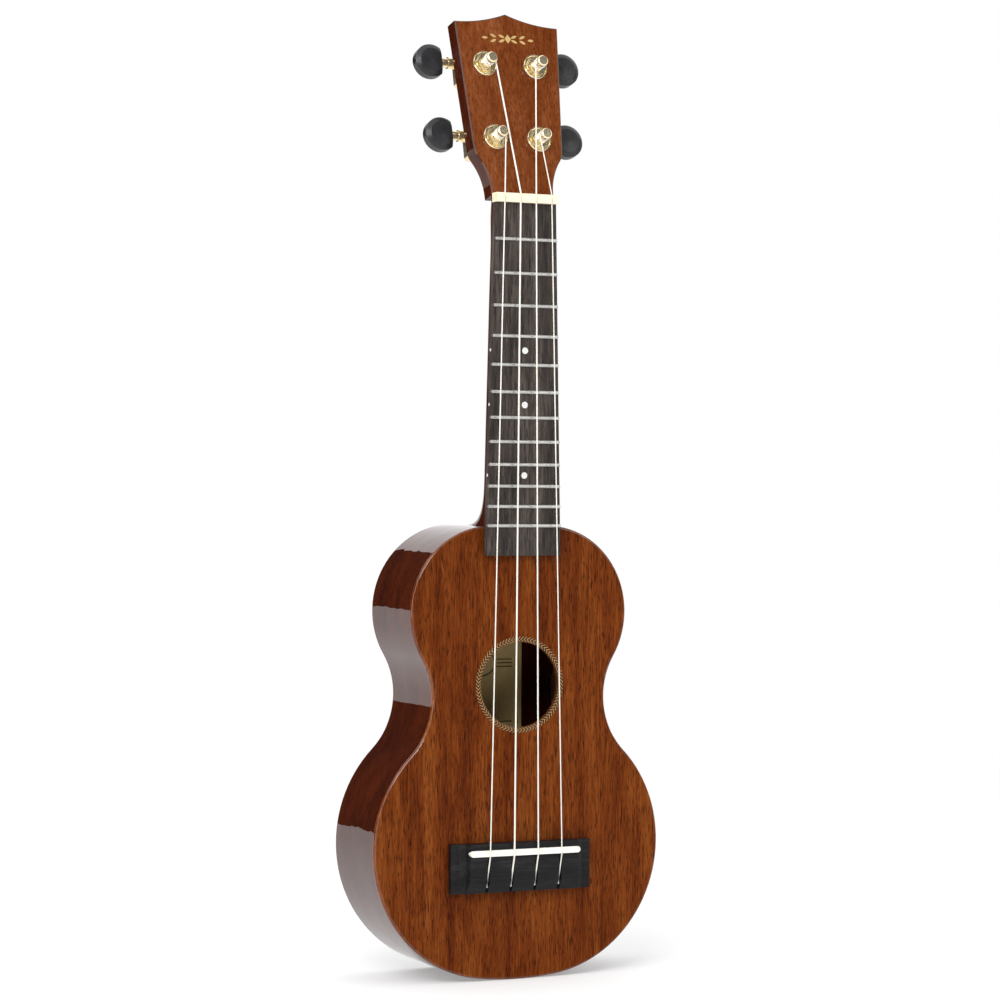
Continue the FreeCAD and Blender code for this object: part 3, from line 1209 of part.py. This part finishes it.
make_body_shell()
make_neck_parts()
make_tuners()
make_strings()
check_and_write()
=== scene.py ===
import json
import math

import bmesh
import bpy
from mathutils import Matrix, Vector


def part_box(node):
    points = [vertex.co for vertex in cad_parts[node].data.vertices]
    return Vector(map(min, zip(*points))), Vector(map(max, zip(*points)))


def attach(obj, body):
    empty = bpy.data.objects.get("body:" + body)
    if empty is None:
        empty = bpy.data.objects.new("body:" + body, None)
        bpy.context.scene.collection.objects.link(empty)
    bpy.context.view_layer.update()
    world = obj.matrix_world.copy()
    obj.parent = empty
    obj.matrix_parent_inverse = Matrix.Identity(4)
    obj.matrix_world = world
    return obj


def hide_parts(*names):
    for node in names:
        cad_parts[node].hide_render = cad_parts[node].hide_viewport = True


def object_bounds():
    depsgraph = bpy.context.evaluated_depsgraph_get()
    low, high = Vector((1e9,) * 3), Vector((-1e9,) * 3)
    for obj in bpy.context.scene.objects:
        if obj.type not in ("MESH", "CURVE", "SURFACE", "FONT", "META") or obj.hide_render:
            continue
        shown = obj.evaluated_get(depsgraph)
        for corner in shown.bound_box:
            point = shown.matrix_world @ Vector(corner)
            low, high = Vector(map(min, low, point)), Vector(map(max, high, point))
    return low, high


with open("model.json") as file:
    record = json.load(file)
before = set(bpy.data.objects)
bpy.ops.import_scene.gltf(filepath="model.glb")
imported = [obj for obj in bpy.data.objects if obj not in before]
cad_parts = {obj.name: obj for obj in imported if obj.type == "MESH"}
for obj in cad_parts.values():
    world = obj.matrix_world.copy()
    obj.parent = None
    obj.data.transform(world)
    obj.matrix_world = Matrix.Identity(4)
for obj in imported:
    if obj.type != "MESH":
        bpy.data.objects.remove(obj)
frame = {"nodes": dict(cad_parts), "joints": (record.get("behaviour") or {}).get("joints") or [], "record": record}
nodes = frame["nodes"]
cad_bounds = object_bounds()

MM = 0.001
SOUNDBOARD_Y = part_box("soundboard")[0].y
HOLE_MIDDLE = (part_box("rosette")[0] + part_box("rosette")[1]) / 2
NUT_TOP_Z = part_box("nut")[1].z
HEAD_TILT = math.radians(13.5)
HEAD_OUT = Vector((0, -math.cos(HEAD_TILT), math.sin(HEAD_TILT)))
HEAD_UP = Vector((0, math.sin(HEAD_TILT), math.cos(HEAD_TILT)))
HEAD_ROOT = Vector((0, SOUNDBOARD_Y, NUT_TOP_Z))
TUNERS = ["low_left", "top_left", "top_right", "low_right"]

# ------------------------------------------------------------------ node helpers


def new_material(name):
    material = bpy.data.materials.new(name)
    material.use_nodes = True
    tree = material.node_tree
    return material, tree, tree.nodes["Principled BSDF"]


def join(tree, source, socket):
    """Links an output to a socket, or sets the socket to a plain value."""
    if hasattr(source, "is_output"):
        tree.links.new(source, socket)
    else:
        socket.default_value = source


def maths(tree, operation, first, second=0.0, third=None):
    node = tree.nodes.new("ShaderNodeMath")
    node.operation = operation
    join(tree, first, node.inputs[0])
    join(tree, second, node.inputs[1])
    if third is not None:
        join(tree, third, node.inputs[2])
    return node.outputs[0]


def distance(tree, first, second):
    """The length of the vector with these two parts."""
    return maths(tree, "SQRT", maths(tree, "ADD", maths(tree, "MULTIPLY", first, first),
                                     maths(tree, "MULTIPLY", second, second)))


def place(tree, output="Object"):
    return tree.nodes.new("ShaderNodeTexCoord").outputs[output]


def axes(tree, vector):
    node = tree.nodes.new("ShaderNodeSeparateXYZ")
    tree.links.new(vector, node.inputs[0])
    return node.outputs


def noise(tree, scale, detail=4.0, rough=0.55, twist=0.0):
    """Noise over object coordinates, with a scale per metre for each axis."""
    mapping = tree.nodes.new("ShaderNodeMapping")
    mapping.inputs["Scale"].default_value = scale
    tree.links.new(place(tree), mapping.inputs["Vector"])
    texture = tree.nodes.new("ShaderNodeTexNoise")
    texture.inputs["Scale"].default_value = 1.0
    texture.inputs["Detail"].default_value = detail
    texture.inputs["Roughness"].default_value = rough
    texture.inputs["Distortion"].default_value = twist
    tree.links.new(mapping.outputs["Vector"], texture.inputs["Vector"])
    return texture.outputs["Fac"]


def ramp(tree, value, stops):
    node = tree.nodes.new("ShaderNodeValToRGB")
    elements = node.color_ramp.elements
    elements.remove(elements[1])
    for index, (where, colour) in enumerate(stops):
        element = elements[0] if index == 0 else elements.new(where)
        element.position = where
        element.color = (*colour, 1.0)
    tree.links.new(value, node.inputs["Fac"])
    return node.outputs["Color"]


def grey(level):
    return (level, level, level)


def mix(tree, factor, first, second, mode="MIX"):
    node = tree.nodes.new("ShaderNodeMix")
    node.data_type = "RGBA"
    node.blend_type = mode
    for index, value in ((0, factor), (6, first), (7, second)):
        join(tree, (*value, 1.0) if isinstance(value, tuple) else value, node.inputs[index])
    return node.outputs[2]


def bump(tree, shader, height, strength, distance):
    node = tree.nodes.new("ShaderNodeBump")
    node.inputs["Strength"].default_value = strength
    node.inputs["Distance"].default_value = distance
    tree.links.new(height, node.inputs["Height"])
    tree.links.new(node.outputs["Normal"], shader.inputs["Normal"])


def finish(shader, roughness, specular=0.5, coat=0.0, coat_roughness=0.05, metallic=0.0):
    shader.inputs["Specular IOR Level"].default_value = specular
    shader.inputs["Roughness"].default_value = roughness
    shader.inputs["Coat Weight"].default_value = coat
    shader.inputs["Coat Roughness"].default_value = coat_roughness
    shader.inputs["Metallic"].default_value = metallic


def wood_colour(tree, dark, middle, light, pore_depth, run=(0, 1, 2), fine=1.0):
    """Quarter-sawn wood along the last axis of run: soft bands, mottled patches, fibres and pores."""
    def scale(across, along):
        values = [across, across, along]
        return tuple(values[run[axis]] * fine for axis in range(3))
    bands = noise(tree, scale(95, 3), 3.0, 0.5, 0.3)
    mottle = noise(tree, scale(70, 14), 5.0, 0.6, 0.4)
    fibre = noise(tree, scale(850, 48), 4.0, 0.7)
    blend = maths(tree, "ADD", maths(tree, "MULTIPLY", bands, 0.27), maths(tree, "MULTIPLY", mottle, 0.30))
    blend = maths(tree, "ADD", blend, maths(tree, "MULTIPLY", fibre, 0.43))
    colour = ramp(tree, blend, [(0.37, dark), (0.50, middle), (0.62, light)])
    pore = noise(tree, scale(1350, 150), 2.0, 0.5)
    mask = ramp(tree, pore, [(0.34, grey(1 - pore_depth)), (0.46, grey(1.0))])
    return mix(tree, 1.0, colour, mask, "MULTIPLY"), pore


# ------------------------------------------------------------------ materials

TOP_WOOD = ((0.062, 0.0090, 0.0008), (0.141, 0.029, 0.0034), (0.225, 0.060, 0.0095))
HEAD_WOOD = ((0.102, 0.021, 0.0035), (0.174, 0.045, 0.0119), (0.255, 0.080, 0.0280))
SIDE_WOOD = ((0.024, 0.0034, 0.0010), (0.052, 0.0082, 0.0019), (0.084, 0.0145, 0.0032))
BOARD_WOOD = ((0.010, 0.008, 0.007), (0.046, 0.035, 0.030), (0.115, 0.091, 0.079))
BRIDGE_WOOD = ((0.003, 0.003, 0.0035), (0.010, 0.0095, 0.0105), (0.030, 0.028, 0.030))
INNER_WOOD = ((0.20, 0.11, 0.05), (0.32, 0.19, 0.095), (0.42, 0.27, 0.15))


FACE_COAT = 0.04
FACE_LEVEL = 0.985


def mahogany_top():
    material, tree, shader = new_material("mahogany_top")
    colour, pore = wood_colour(tree, *TOP_WOOD, pore_depth=0.62, fine=1.25)
    tree.links.new(colour, shader.inputs["Base Color"])
    finish(shader, 0.5, specular=0.03, coat_roughness=0.03)
    # the flat face is rubbed satin and only the rounded edge keeps its full gloss
    level = maths(tree, "MULTIPLY", axes(tree, place(tree, "Normal"))[1], -1.0)
    rounded = maths(tree, "LESS_THAN", level, FACE_LEVEL)
    gloss = ramp(tree, rounded, [(0.0, grey(FACE_COAT)), (1.0, grey(1.0))])
    tree.links.new(gloss, shader.inputs["Coat Weight"])
    bump(tree, shader, pore, 0.10, 0.0002)
    return material


WAVE_SCALE = 28
WAVE_STRENGTH = 0.5
WAVE_DEPTH = 0.0009


def lacquered_side(name, coat=1.0):
    """Dark lacquer over wood; its surface is slightly uneven, so reflections have wavy edges."""
    material, tree, shader = new_material(name)
    colour = wood_colour(tree, *SIDE_WOOD, pore_depth=0.2)[0]
    tree.links.new(colour, shader.inputs["Base Color"])
    finish(shader, 0.6, specular=0.0, coat=coat, coat_roughness=0.015)
    wave = noise(tree, (WAVE_SCALE, WAVE_SCALE, WAVE_SCALE), 3.0, 0.5)
    node = tree.nodes.new("ShaderNodeBump")
    node.inputs["Strength"].default_value = WAVE_STRENGTH
    node.inputs["Distance"].default_value = WAVE_DEPTH
    tree.links.new(wave, node.inputs["Height"])
    tree.links.new(node.outputs["Normal"], shader.inputs["Coat Normal"])
    return material, tree, shader, colour


HEAD_FACING = 0.96
HEAD_MARGIN = 1.5 * MM


def neck_wood():
    """The neck is dark, but the headstock's face has the soundboard's lighter colour."""
    material, tree, shader, dark = lacquered_side("neck_wood", coat=0.6)
    light = wood_colour(tree, *HEAD_WOOD, pore_depth=0.35)[0]
    facing = tree.nodes.new("ShaderNodeVectorMath")
    facing.operation = "DOT_PRODUCT"
    tree.links.new(place(tree, "Normal"), facing.inputs[0])
    facing.inputs[1].default_value = HEAD_OUT
    front = maths(tree, "GREATER_THAN", facing.outputs["Value"], HEAD_FACING)
    height = maths(tree, "GREATER_THAN", axes(tree, place(tree))[2], NUT_TOP_Z - HEAD_MARGIN)
    face = maths(tree, "MULTIPLY", front, height)
    tree.links.new(mix(tree, face, dark, light), shader.inputs["Base Color"])
    return material


def rosewood():
    material, tree, shader = new_material("rosewood")
    colour, pore = wood_colour(tree, *BOARD_WOOD, pore_depth=0.55)
    tree.links.new(colour, shader.inputs["Base Color"])
    finish(shader, 0.55, specular=0.2)
    bump(tree, shader, pore, 0.25, 0.0003)
    return material


def bridge_black():
    material, tree, shader = new_material("bridge_black")
    colour, pore = wood_colour(tree, *BRIDGE_WOOD, pore_depth=0.35, run=(2, 1, 0))
    tree.links.new(colour, shader.inputs["Base Color"])
    finish(shader, 0.42, specular=0.18)
    bump(tree, shader, pore, 0.15, 0.0003)
    return material


def inner_wood():
    material, tree, shader = new_material("inner_wood")
    tree.links.new(wood_colour(tree, *INNER_WOOD, pore_depth=0.3)[0], shader.inputs["Base Color"])
    finish(shader, 0.65, specular=0.3)
    return material


BRAID_INNER = 22.9 * MM
BRAID_OUTER = 25.9 * MM
BRAID_STRANDS = 82
BRAID_SLANT = 1.8
BRAID_DARK = (0.04, 0.015, 0.005)
BRAID_COLOURS = [(0.0, BRAID_DARK), (0.16, (0.44, 0.22, 0.07)), (0.34, (0.50, 0.27, 0.09)), (0.48, BRAID_DARK),
                 (1.0, BRAID_DARK)]


def rosette_inlay():
    """A ring of braided tan and brown strands between two thin dark lines."""
    material, tree, shader = new_material("rosette_inlay")
    x, y, z = axes(tree, place(tree))
    up = maths(tree, "SUBTRACT", z, HOLE_MIDDLE.z)
    radius = distance(tree, x, up)
    share = maths(tree, "DIVIDE", maths(tree, "SUBTRACT", radius, BRAID_INNER), BRAID_OUTER - BRAID_INNER)
    turn = maths(tree, "MULTIPLY", maths(tree, "ARCTAN2", up, x), BRAID_STRANDS / (2 * math.pi))
    bend = maths(tree, "ABSOLUTE", maths(tree, "SUBTRACT", share, 0.5))
    strand = maths(tree, "FRACT", maths(tree, "ADD", turn, maths(tree, "MULTIPLY", bend, BRAID_SLANT)))
    braid = ramp(tree, strand, BRAID_COLOURS)
    lines = ramp(tree, share, [(0.0, grey(1.0)), (0.05, grey(0.0)), (0.95, grey(0.0)), (1.0, grey(1.0))])
    patina = noise(tree, (500, 500, 500), 3.0, 0.6)
    shade = mix(tree, 1.0, braid, ramp(tree, patina, [(0.3, grey(0.72)), (0.7, grey(1.0))]), "MULTIPLY")
    tree.links.new(mix(tree, lines, shade, (0.045, 0.018, 0.009)), shader.inputs["Base Color"])
    finish(shader, 0.45, specular=0.1, coat=0.3, coat_roughness=0.04)
    return material


LABEL_BORDERS = (2.2 * MM, 3.2 * MM)
LABEL_RULES = (-24 * MM, 6.5 * MM, 8.5 * MM, 10.5 * MM)
RULE_HALF = 20 * MM
RULE_WEIGHT = 0.35 * MM
OVAL_WIDE = 11 * MM
OVAL_TALL = 8 * MM
OVAL_RISE = 8.5 * MM
RING_PLACE = 0.9
RING_WEIGHT = 0.05
INK_STRENGTH = 0.8
PAPER_COLOURS = [(0.3, (0.88, 0.62, 0.25)), (0.7, (0.95, 0.72, 0.33))]


def band(tree, value, middle, half):
    """1 where value lies within half of middle."""
    return maths(tree, "LESS_THAN", maths(tree, "ABSOLUTE", maths(tree, "SUBTRACT", value, middle)), half)


def paper_label():
    """Tan paper with a printed border, plain rules and an oval, and no lettering."""
    material, tree, shader = new_material("paper_label")
    low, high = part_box("label")
    middle = (low + high) / 2
    x, y, z = axes(tree, place(tree))
    across = maths(tree, "SUBTRACT", x, middle.x)
    along = maths(tree, "SUBTRACT", z, middle.z)
    edge = maths(tree, "MINIMUM",
                 maths(tree, "SUBTRACT", (high.x - low.x) / 2, maths(tree, "ABSOLUTE", across)),
                 maths(tree, "SUBTRACT", (high.z - low.z) / 2, maths(tree, "ABSOLUTE", along)))
    ink = band(tree, edge, sum(LABEL_BORDERS) / 2, (LABEL_BORDERS[1] - LABEL_BORDERS[0]) / 2)
    inside = maths(tree, "LESS_THAN", maths(tree, "ABSOLUTE", across), RULE_HALF)
    for rule in LABEL_RULES:
        line = maths(tree, "MULTIPLY", band(tree, along, rule, RULE_WEIGHT), inside)
        ink = maths(tree, "MAXIMUM", ink, line)
    oval_along = maths(tree, "DIVIDE", maths(tree, "SUBTRACT", along, OVAL_RISE), OVAL_TALL)
    reach = distance(tree, maths(tree, "DIVIDE", across, OVAL_WIDE), oval_along)
    oval = maths(tree, "LESS_THAN", reach, 1.0)
    ring = band(tree, reach, RING_PLACE, RING_WEIGHT)
    ink = maths(tree, "MAXIMUM", maths(tree, "MULTIPLY", ink, maths(tree, "SUBTRACT", 1.0, oval)), ring)
    paper = ramp(tree, noise(tree, (120, 120, 120), 5.0, 0.6), PAPER_COLOURS)
    printed = mix(tree, maths(tree, "MULTIPLY", ink, INK_STRENGTH), paper, (0.08, 0.05, 0.02))
    tree.links.new(printed, shader.inputs["Base Color"])
    finish(shader, 0.85, specular=0.2)
    return material


def plain(name, colour, roughness, spread=0.06, grain=90, **settings):
    """A moulded, polished or plated surface with a faint unevenness in its shade and gloss."""
    material, tree, shader = new_material(name)
    cloud = noise(tree, grey(grain), 3.0, 0.5)
    light = tuple(min(1.0, c * (1 + spread)) for c in colour)
    dark = tuple(c * (1 - spread) for c in colour)
    tree.links.new(ramp(tree, cloud, [(0.35, dark), (0.65, light)]), shader.inputs["Base Color"])
    finish(shader, roughness, **settings)
    worn = [(0.3, grey(roughness * 0.8)), (0.7, grey(roughness * 1.25))]
    smear = ramp(tree, noise(tree, grey(grain * 2), 4.0, 0.6), worn)
    tree.links.new(smear, shader.inputs["Roughness"])
    return material


MATERIALS = {
    "mahogany_top": mahogany_top(),
    "mahogany_dark": lacquered_side("mahogany_dark")[0],
    "rosewood": rosewood(),
    "bridge_black": bridge_black(),
    "inner_wood": inner_wood(),
    "bone_cream": plain("bone_cream", (0.93, 0.83, 0.60), 0.25, spread=0.03, coat=0.3),
    "nylon_white": plain("nylon_white", (0.84, 0.81, 0.73), 0.25, spread=0.03),
    "rosette_inlay": rosette_inlay(),
    "paper_label": paper_label(),
    "gold_plate": plain("gold_plate", (0.93, 0.81, 0.54), 0.16, metallic=0.88),
    "gear_brass": plain("gear_brass", (0.70, 0.52, 0.25), 0.3, metallic=1.0),
    "steel_fret": plain("steel_fret", (0.50, 0.49, 0.47), 0.3, metallic=0.9),
    "button_black": plain("button_black", (0.016, 0.016, 0.018), 0.38, spread=0.25, specular=0.35, coat=0.2,
                          coat_roughness=0.2),
    "pearl_dot": plain("pearl_dot", (0.80, 0.80, 0.78), 0.2, spread=0.1, grain=700, coat=0.5),
}
OWN_MATERIAL = {
    "neck": neck_wood(),
    "saddle": plain("bone_white", (0.93, 0.90, 0.80), 0.25, spread=0.02, coat=0.3),
}

for part in frame["record"]["subparts"]:
    target = nodes[part["node"]]
    target.data.materials.clear()
    target.data.materials.append(OWN_MATERIAL.get(part["node"], MATERIALS[part["material_slot"]]))

# ------------------------------------------------------------------ pieces


def new_piece(name, mesh, slot, body, smooth=True, material=None):
    mesh.materials.append(material or MATERIALS[slot])
    for face in mesh.polygons:
        face.use_smooth = smooth
    piece = bpy.data.objects.new(name, mesh)
    bpy.context.scene.collection.objects.link(piece)
    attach(piece, body)
    return piece


def tube(name, path, radii, ring=12):
    """A closed round tube along a list of points, with a radius at each."""
    mesh = bpy.data.meshes.new(name)
    points = []
    faces = []
    side = None
    for index, centre in enumerate(path):
        before = path[max(index - 1, 0)]
        after = path[min(index + 1, len(path) - 1)]
        ahead = (after - before).normalized()
        if side is None:
            side = ahead.orthogonal().normalized()
        side = (side - ahead * side.dot(ahead)).normalized()
        up = ahead.cross(side)
        for step in range(ring):
            turn = 2 * math.pi * step / ring
            points.append(centre + (side * math.cos(turn) + up * math.sin(turn)) * radii[index])
    for index in range(len(path) - 1):
        for step in range(ring):
            onward = (step + 1) % ring
            low, high = index * ring, (index + 1) * ring
            faces.append((low + step, low + onward, high + onward, high + step))
    faces.append(tuple(reversed(range(ring))))
    faces.append(tuple(range(len(points) - ring, len(points))))
    mesh.from_pydata(points, [], faces)
    return mesh


def head_point(x, out, along):
    """A point over the headstock's face: out is the distance in front of it, along goes up it."""
    return HEAD_ROOT + Vector((x, 0, 0)) + HEAD_OUT * out + HEAD_UP * along


def head_frame(point):
    offset = point - HEAD_ROOT
    return offset.x, offset.dot(HEAD_OUT), offset.dot(HEAD_UP)


STRING_RADII = {
    "low_left": 0.35 * MM,
    "top_left": 0.475 * MM,
    "top_right": 0.41 * MM,
    "low_right": 0.32 * MM,
}
POST_WAIST = 2.3 * MM
TURN_STEPS = 28


def make_winding(tuner):
    """The turns of string on a post, as one helix in the place of the CAD winding."""
    joint = next(j for j in frame["joints"] if j["name"] == "post_turn_" + tuner)
    middle = head_frame(Vector(joint["pos_m"]))
    radius = STRING_RADII[tuner]
    corners = [nodes["winding_" + tuner].matrix_world @ v.co for v in nodes["winding_" + tuner].data.vertices]
    levels = [head_frame(corner)[1] for corner in corners]
    low, high = min(levels) + radius, max(levels) - radius
    turns = max(1, round((high - low) / (2 * radius)))
    coil = POST_WAIST + radius
    path = []
    for step in range(turns * TURN_STEPS + 1):
        share = step / (turns * TURN_STEPS)
        turn = 2 * math.pi * turns * share
        level = low + (high - low) * share
        path.append(head_point(middle[0] + coil * math.cos(turn), level, middle[2] + coil * math.sin(turn)))
    mesh = tube("string_turns_" + tuner, path, [radius] * len(path))
    piece = new_piece("string_turns_" + tuner, mesh, "nylon_white", "post_" + tuner)
    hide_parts("winding_" + tuner)


SIDE_DOT_RADIUS = 0.8 * MM
SIDE_DOT_SPACES = (5, 7, 10)
SIDE_DOT_DEPTH = 0.5 * MM
SIDE_DOT_SINK = 0.15 * MM
SCALE_LENGTH = 345 * MM
NUT_FRONT_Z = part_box("nut")[0].z


def fret_z(count):
    return NUT_FRONT_Z - SCALE_LENGTH * (1 - 2 ** (-count / 12))


def make_side_dots():
    """Small pale dots let into the fingerboard's edge that faces the player."""
    low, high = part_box("fingerboard")
    board = nodes["fingerboard"].data
    mesh = bpy.data.meshes.new("side_dots")
    shape = bmesh.new()
    for space in SIDE_DOT_SPACES:
        z = (fret_z(space - 1) + fret_z(space)) / 2
        share = (NUT_FRONT_Z - z) / (NUT_FRONT_Z - low.z)
        edge = min(v.co.x for v in board.vertices if v.co.z > high.z - 2 * MM)
        x = edge + (low.x - edge) * share
        spot = Matrix.Translation((x + SIDE_DOT_SINK, (low.y + high.y) / 2, z))
        spot = spot @ Matrix.Rotation(math.pi / 2, 4, "Y")
        bmesh.ops.create_cone(shape, cap_ends=True, segments=24, radius1=SIDE_DOT_RADIUS,
                              radius2=SIDE_DOT_RADIUS, depth=SIDE_DOT_DEPTH, matrix=spot)
    shape.to_mesh(mesh)
    shape.free()
    new_piece("side_dots", mesh, "pearl_dot", "instrument", smooth=False)


ORNAMENT_ALONG = 88.5 * MM
ORNAMENT_LIFT = 0.06 * MM
ORNAMENT_SINK = 1.5
LOZENGE_TALL = 2.6 * MM
LOZENGE_WIDE = 1.9 * MM
LEAF_LENGTH = 3.6
LEAF_WIDTH = 0.75 * MM
LEAF_TIPS = ((5.5, 2.1), (5.5, -2.1), (10.5, 2.3), (10.5, -2.3), (15.5, 0.0))


def leaf(start, end, width, count=10):
    """The outline of a pointed leaf between two places on the headstock's face."""
    run = (end[0] - start[0], end[1] - start[1])
    left = []
    right = []
    for step in range(count + 1):
        share = step / count
        bulge = width * math.sin(math.pi * share) ** 0.8
        middle = (start[0] + run[0] * share, start[1] + run[1] * share)
        length = math.hypot(*run)
        normal = (-run[1] / length, run[0] / length)
        left.append((middle[0] + normal[0] * bulge, middle[1] + normal[1] * bulge))
        right.append((middle[0] - normal[0] * bulge, middle[1] - normal[1] * bulge))
    return left + right[-2:0:-1]


def make_ornament():
    """A small gilt spray of leaves either side of a lozenge."""
    shape = bmesh.new()
    outlines = [[(0, -LOZENGE_TALL), (LOZENGE_WIDE, 0), (0, LOZENGE_TALL), (-LOZENGE_WIDE, 0)]]
    for side in (-1, 1):
        for reach, rise in LEAF_TIPS:
            base = (side * (reach - LEAF_LENGTH) * MM, 0.25 * rise * MM)
            outlines.append(leaf(base, (side * reach * MM, rise * MM), LEAF_WIDTH))
    for outline in outlines:
        corners = [head_point(x, ORNAMENT_LIFT, ORNAMENT_ALONG + along) for x, along in outline]
        spots = [shape.verts.new(corner) for corner in corners]
        face = shape.faces.new(spots)
        if face.normal.dot(HEAD_OUT) < 0:
            face.normal_flip()
    result = bmesh.ops.extrude_face_region(shape, geom=list(shape.faces))
    for item in result["geom"]:
        if isinstance(item, bmesh.types.BMVert):
            item.co -= HEAD_OUT * ORNAMENT_LIFT * ORNAMENT_SINK
    bmesh.ops.recalc_face_normals(shape, faces=list(shape.faces))
    mesh = bpy.data.meshes.new("head_ornament")
    shape.to_mesh(mesh)
    shape.free()
    gilt = plain("gilt_print", (0.52, 0.34, 0.12), 0.5, spread=0.12, metallic=0.15)
    new_piece("head_ornament", mesh, "gold_plate", "instrument", smooth=False, material=gilt)


for tuner_name in TUNERS:
    make_winding(tuner_name)
make_side_dots()
make_ornament()

# ------------------------------------------------------------------ camera, floor, lights

AZIMUTH = math.radians(-25.0)
ELEVATION = math.radians(0.25)
ROLL = math.radians(0.385)
DISTANCE = 1.566
FOCAL_SHARE = 2.93
SENSOR_WIDTH = 36.0
AIM = Vector((-0.0124, SOUNDBOARD_Y, 0.2571))


def make_camera():
    """The photograph's view: from the instrument's left as a viewer sees it, level with its middle."""
    camera = bpy.data.cameras.new("camera")
    camera.sensor_width = SENSOR_WIDTH
    camera.lens = SENSOR_WIDTH * FOCAL_SHARE
    camera.clip_start = 0.05
    camera.clip_end = 60
    holder = bpy.data.objects.new("camera", camera)
    bpy.context.scene.collection.objects.link(holder)
    back = Vector((math.sin(AZIMUTH) * math.cos(ELEVATION), -math.cos(AZIMUTH) * math.cos(ELEVATION),
                   math.sin(ELEVATION)))
    right = Vector((math.cos(AZIMUTH), math.sin(AZIMUTH), 0))
    up = back.cross(right)
    across = right * math.cos(ROLL) + up * math.sin(ROLL)
    upright = up * math.cos(ROLL) - right * math.sin(ROLL)
    matrix = Matrix((across, upright, back)).transposed().to_4x4()
    matrix.translation = AIM + back * DISTANCE
    holder.matrix_world = matrix
    bpy.context.scene.camera = holder


FLOOR_REACH = 30.0
GLOW_START = 0.25
GLOW_LEAST = 0.3
GLOW_END = 1.3


def make_floor():
    """A white floor: matt near the object, where its shadow falls, and lit from within further out."""
    mesh = bpy.data.meshes.new("floor")
    reach = FLOOR_REACH
    corners = [(-reach, -reach, 0), (reach, -reach, 0), (reach, reach, 0), (-reach, reach, 0)]
    mesh.from_pydata(corners, [], [(0, 1, 2, 3)])
    floor = bpy.data.objects.new("floor", mesh)
    bpy.context.scene.collection.objects.link(floor)
    floor.location.z = cad_bounds[0].z
    material, tree, shader = new_material("floor_white")
    shader.inputs["Base Color"].default_value = (0.93, 0.93, 0.93, 1)
    finish(shader, 0.9, specular=0.1)
    x, y, z = axes(tree, place(tree))
    away = distance(tree, x, y)
    share = tree.nodes.new("ShaderNodeMapRange")
    share.inputs["From Min"].default_value = GLOW_START
    share.inputs["From Max"].default_value = GLOW_END
    share.inputs["To Min"].default_value = GLOW_LEAST
    tree.links.new(away, share.inputs["Value"])
    glow = tree.nodes.new("ShaderNodeEmission")
    blend = tree.nodes.new("ShaderNodeMixShader")
    tree.links.new(share.outputs["Result"], blend.inputs[0])
    tree.links.new(shader.outputs[0], blend.inputs[1])
    tree.links.new(glow.outputs[0], blend.inputs[2])
    tree.links.new(blend.outputs[0], tree.nodes["Material Output"].inputs["Surface"])
    mesh.materials.append(material)


LIGHT_TARGET = (0, 0, 0.25)


def area_light(name, where, target, width, height, power):
    light = bpy.data.lights.new(name, "AREA")
    light.shape = "RECTANGLE"
    light.size = width
    light.size_y = height
    light.energy = power
    holder = bpy.data.objects.new(name, light)
    bpy.context.scene.collection.objects.link(holder)
    holder.location = where
    holder.rotation_euler = (Vector(target) - Vector(where)).to_track_quat("-Z", "Y").to_euler()


SKY_EDGE = 0.42
SKY_BLEND = 0.03
SKY_FRONT_LIFT = 0.41
SKY_LOW = 0.022
SKY_HIGH = 1.25
SCREEN_EDGE = -0.03


def make_world():
    """A studio with dim walls, a bright ceiling that starts higher in front, and a white screen behind on
    the right. The camera sees plain white past the floor's edge."""
    world = bpy.data.worlds.new("world")
    world.use_nodes = True
    tree = world.node_tree
    x, y, z = axes(tree, place(tree, "Generated"))
    height = maths(tree, "ADD", z, maths(tree, "MULTIPLY", maths(tree, "MINIMUM", y, 0.0), SKY_FRONT_LIFT))
    ceiling = tree.nodes.new("ShaderNodeMapRange")
    ceiling.inputs["From Min"].default_value = SKY_EDGE
    ceiling.inputs["From Max"].default_value = SKY_EDGE + SKY_BLEND
    tree.links.new(height, ceiling.inputs["Value"])
    behind = maths(tree, "GREATER_THAN", y, 0.0)
    screen = maths(tree, "MULTIPLY", behind, maths(tree, "GREATER_THAN", x, SCREEN_EDGE))
    sky = ramp(tree, maths(tree, "MAXIMUM", ceiling.outputs["Result"], screen),
               [(0.0, grey(SKY_LOW)), (1.0, grey(1.0))])
    studio = tree.nodes["Background"]
    tree.links.new(sky, studio.inputs["Color"])
    studio.inputs["Strength"].default_value = SKY_HIGH
    white = tree.nodes.new("ShaderNodeBackground")
    white.inputs["Color"].default_value = (1, 1, 1, 1)
    rays = tree.nodes.new("ShaderNodeLightPath")
    blend = tree.nodes.new("ShaderNodeMixShader")
    tree.links.new(rays.outputs["Is Camera Ray"], blend.inputs[0])
    tree.links.new(studio.outputs[0], blend.inputs[1])
    tree.links.new(white.outputs[0], blend.inputs[2])
    tree.links.new(blend.outputs[0], tree.nodes["World Output"].inputs["Surface"])
    bpy.context.scene.world = world


make_camera()
make_floor()
make_world()
area_light("key", (-1.1, -1.5, 1.5), LIGHT_TARGET, 0.9, 0.9, 21)
area_light("fill", (1.3, -1.6, 0.9), LIGHT_TARGET, 1.0, 1.0, 12)
area_light("strip", (-1.8, -0.85, 0.6), LIGHT_TARGET, 0.8, 2.2, 22)

bpy.context.scene.view_settings.view_transform = "Standard"
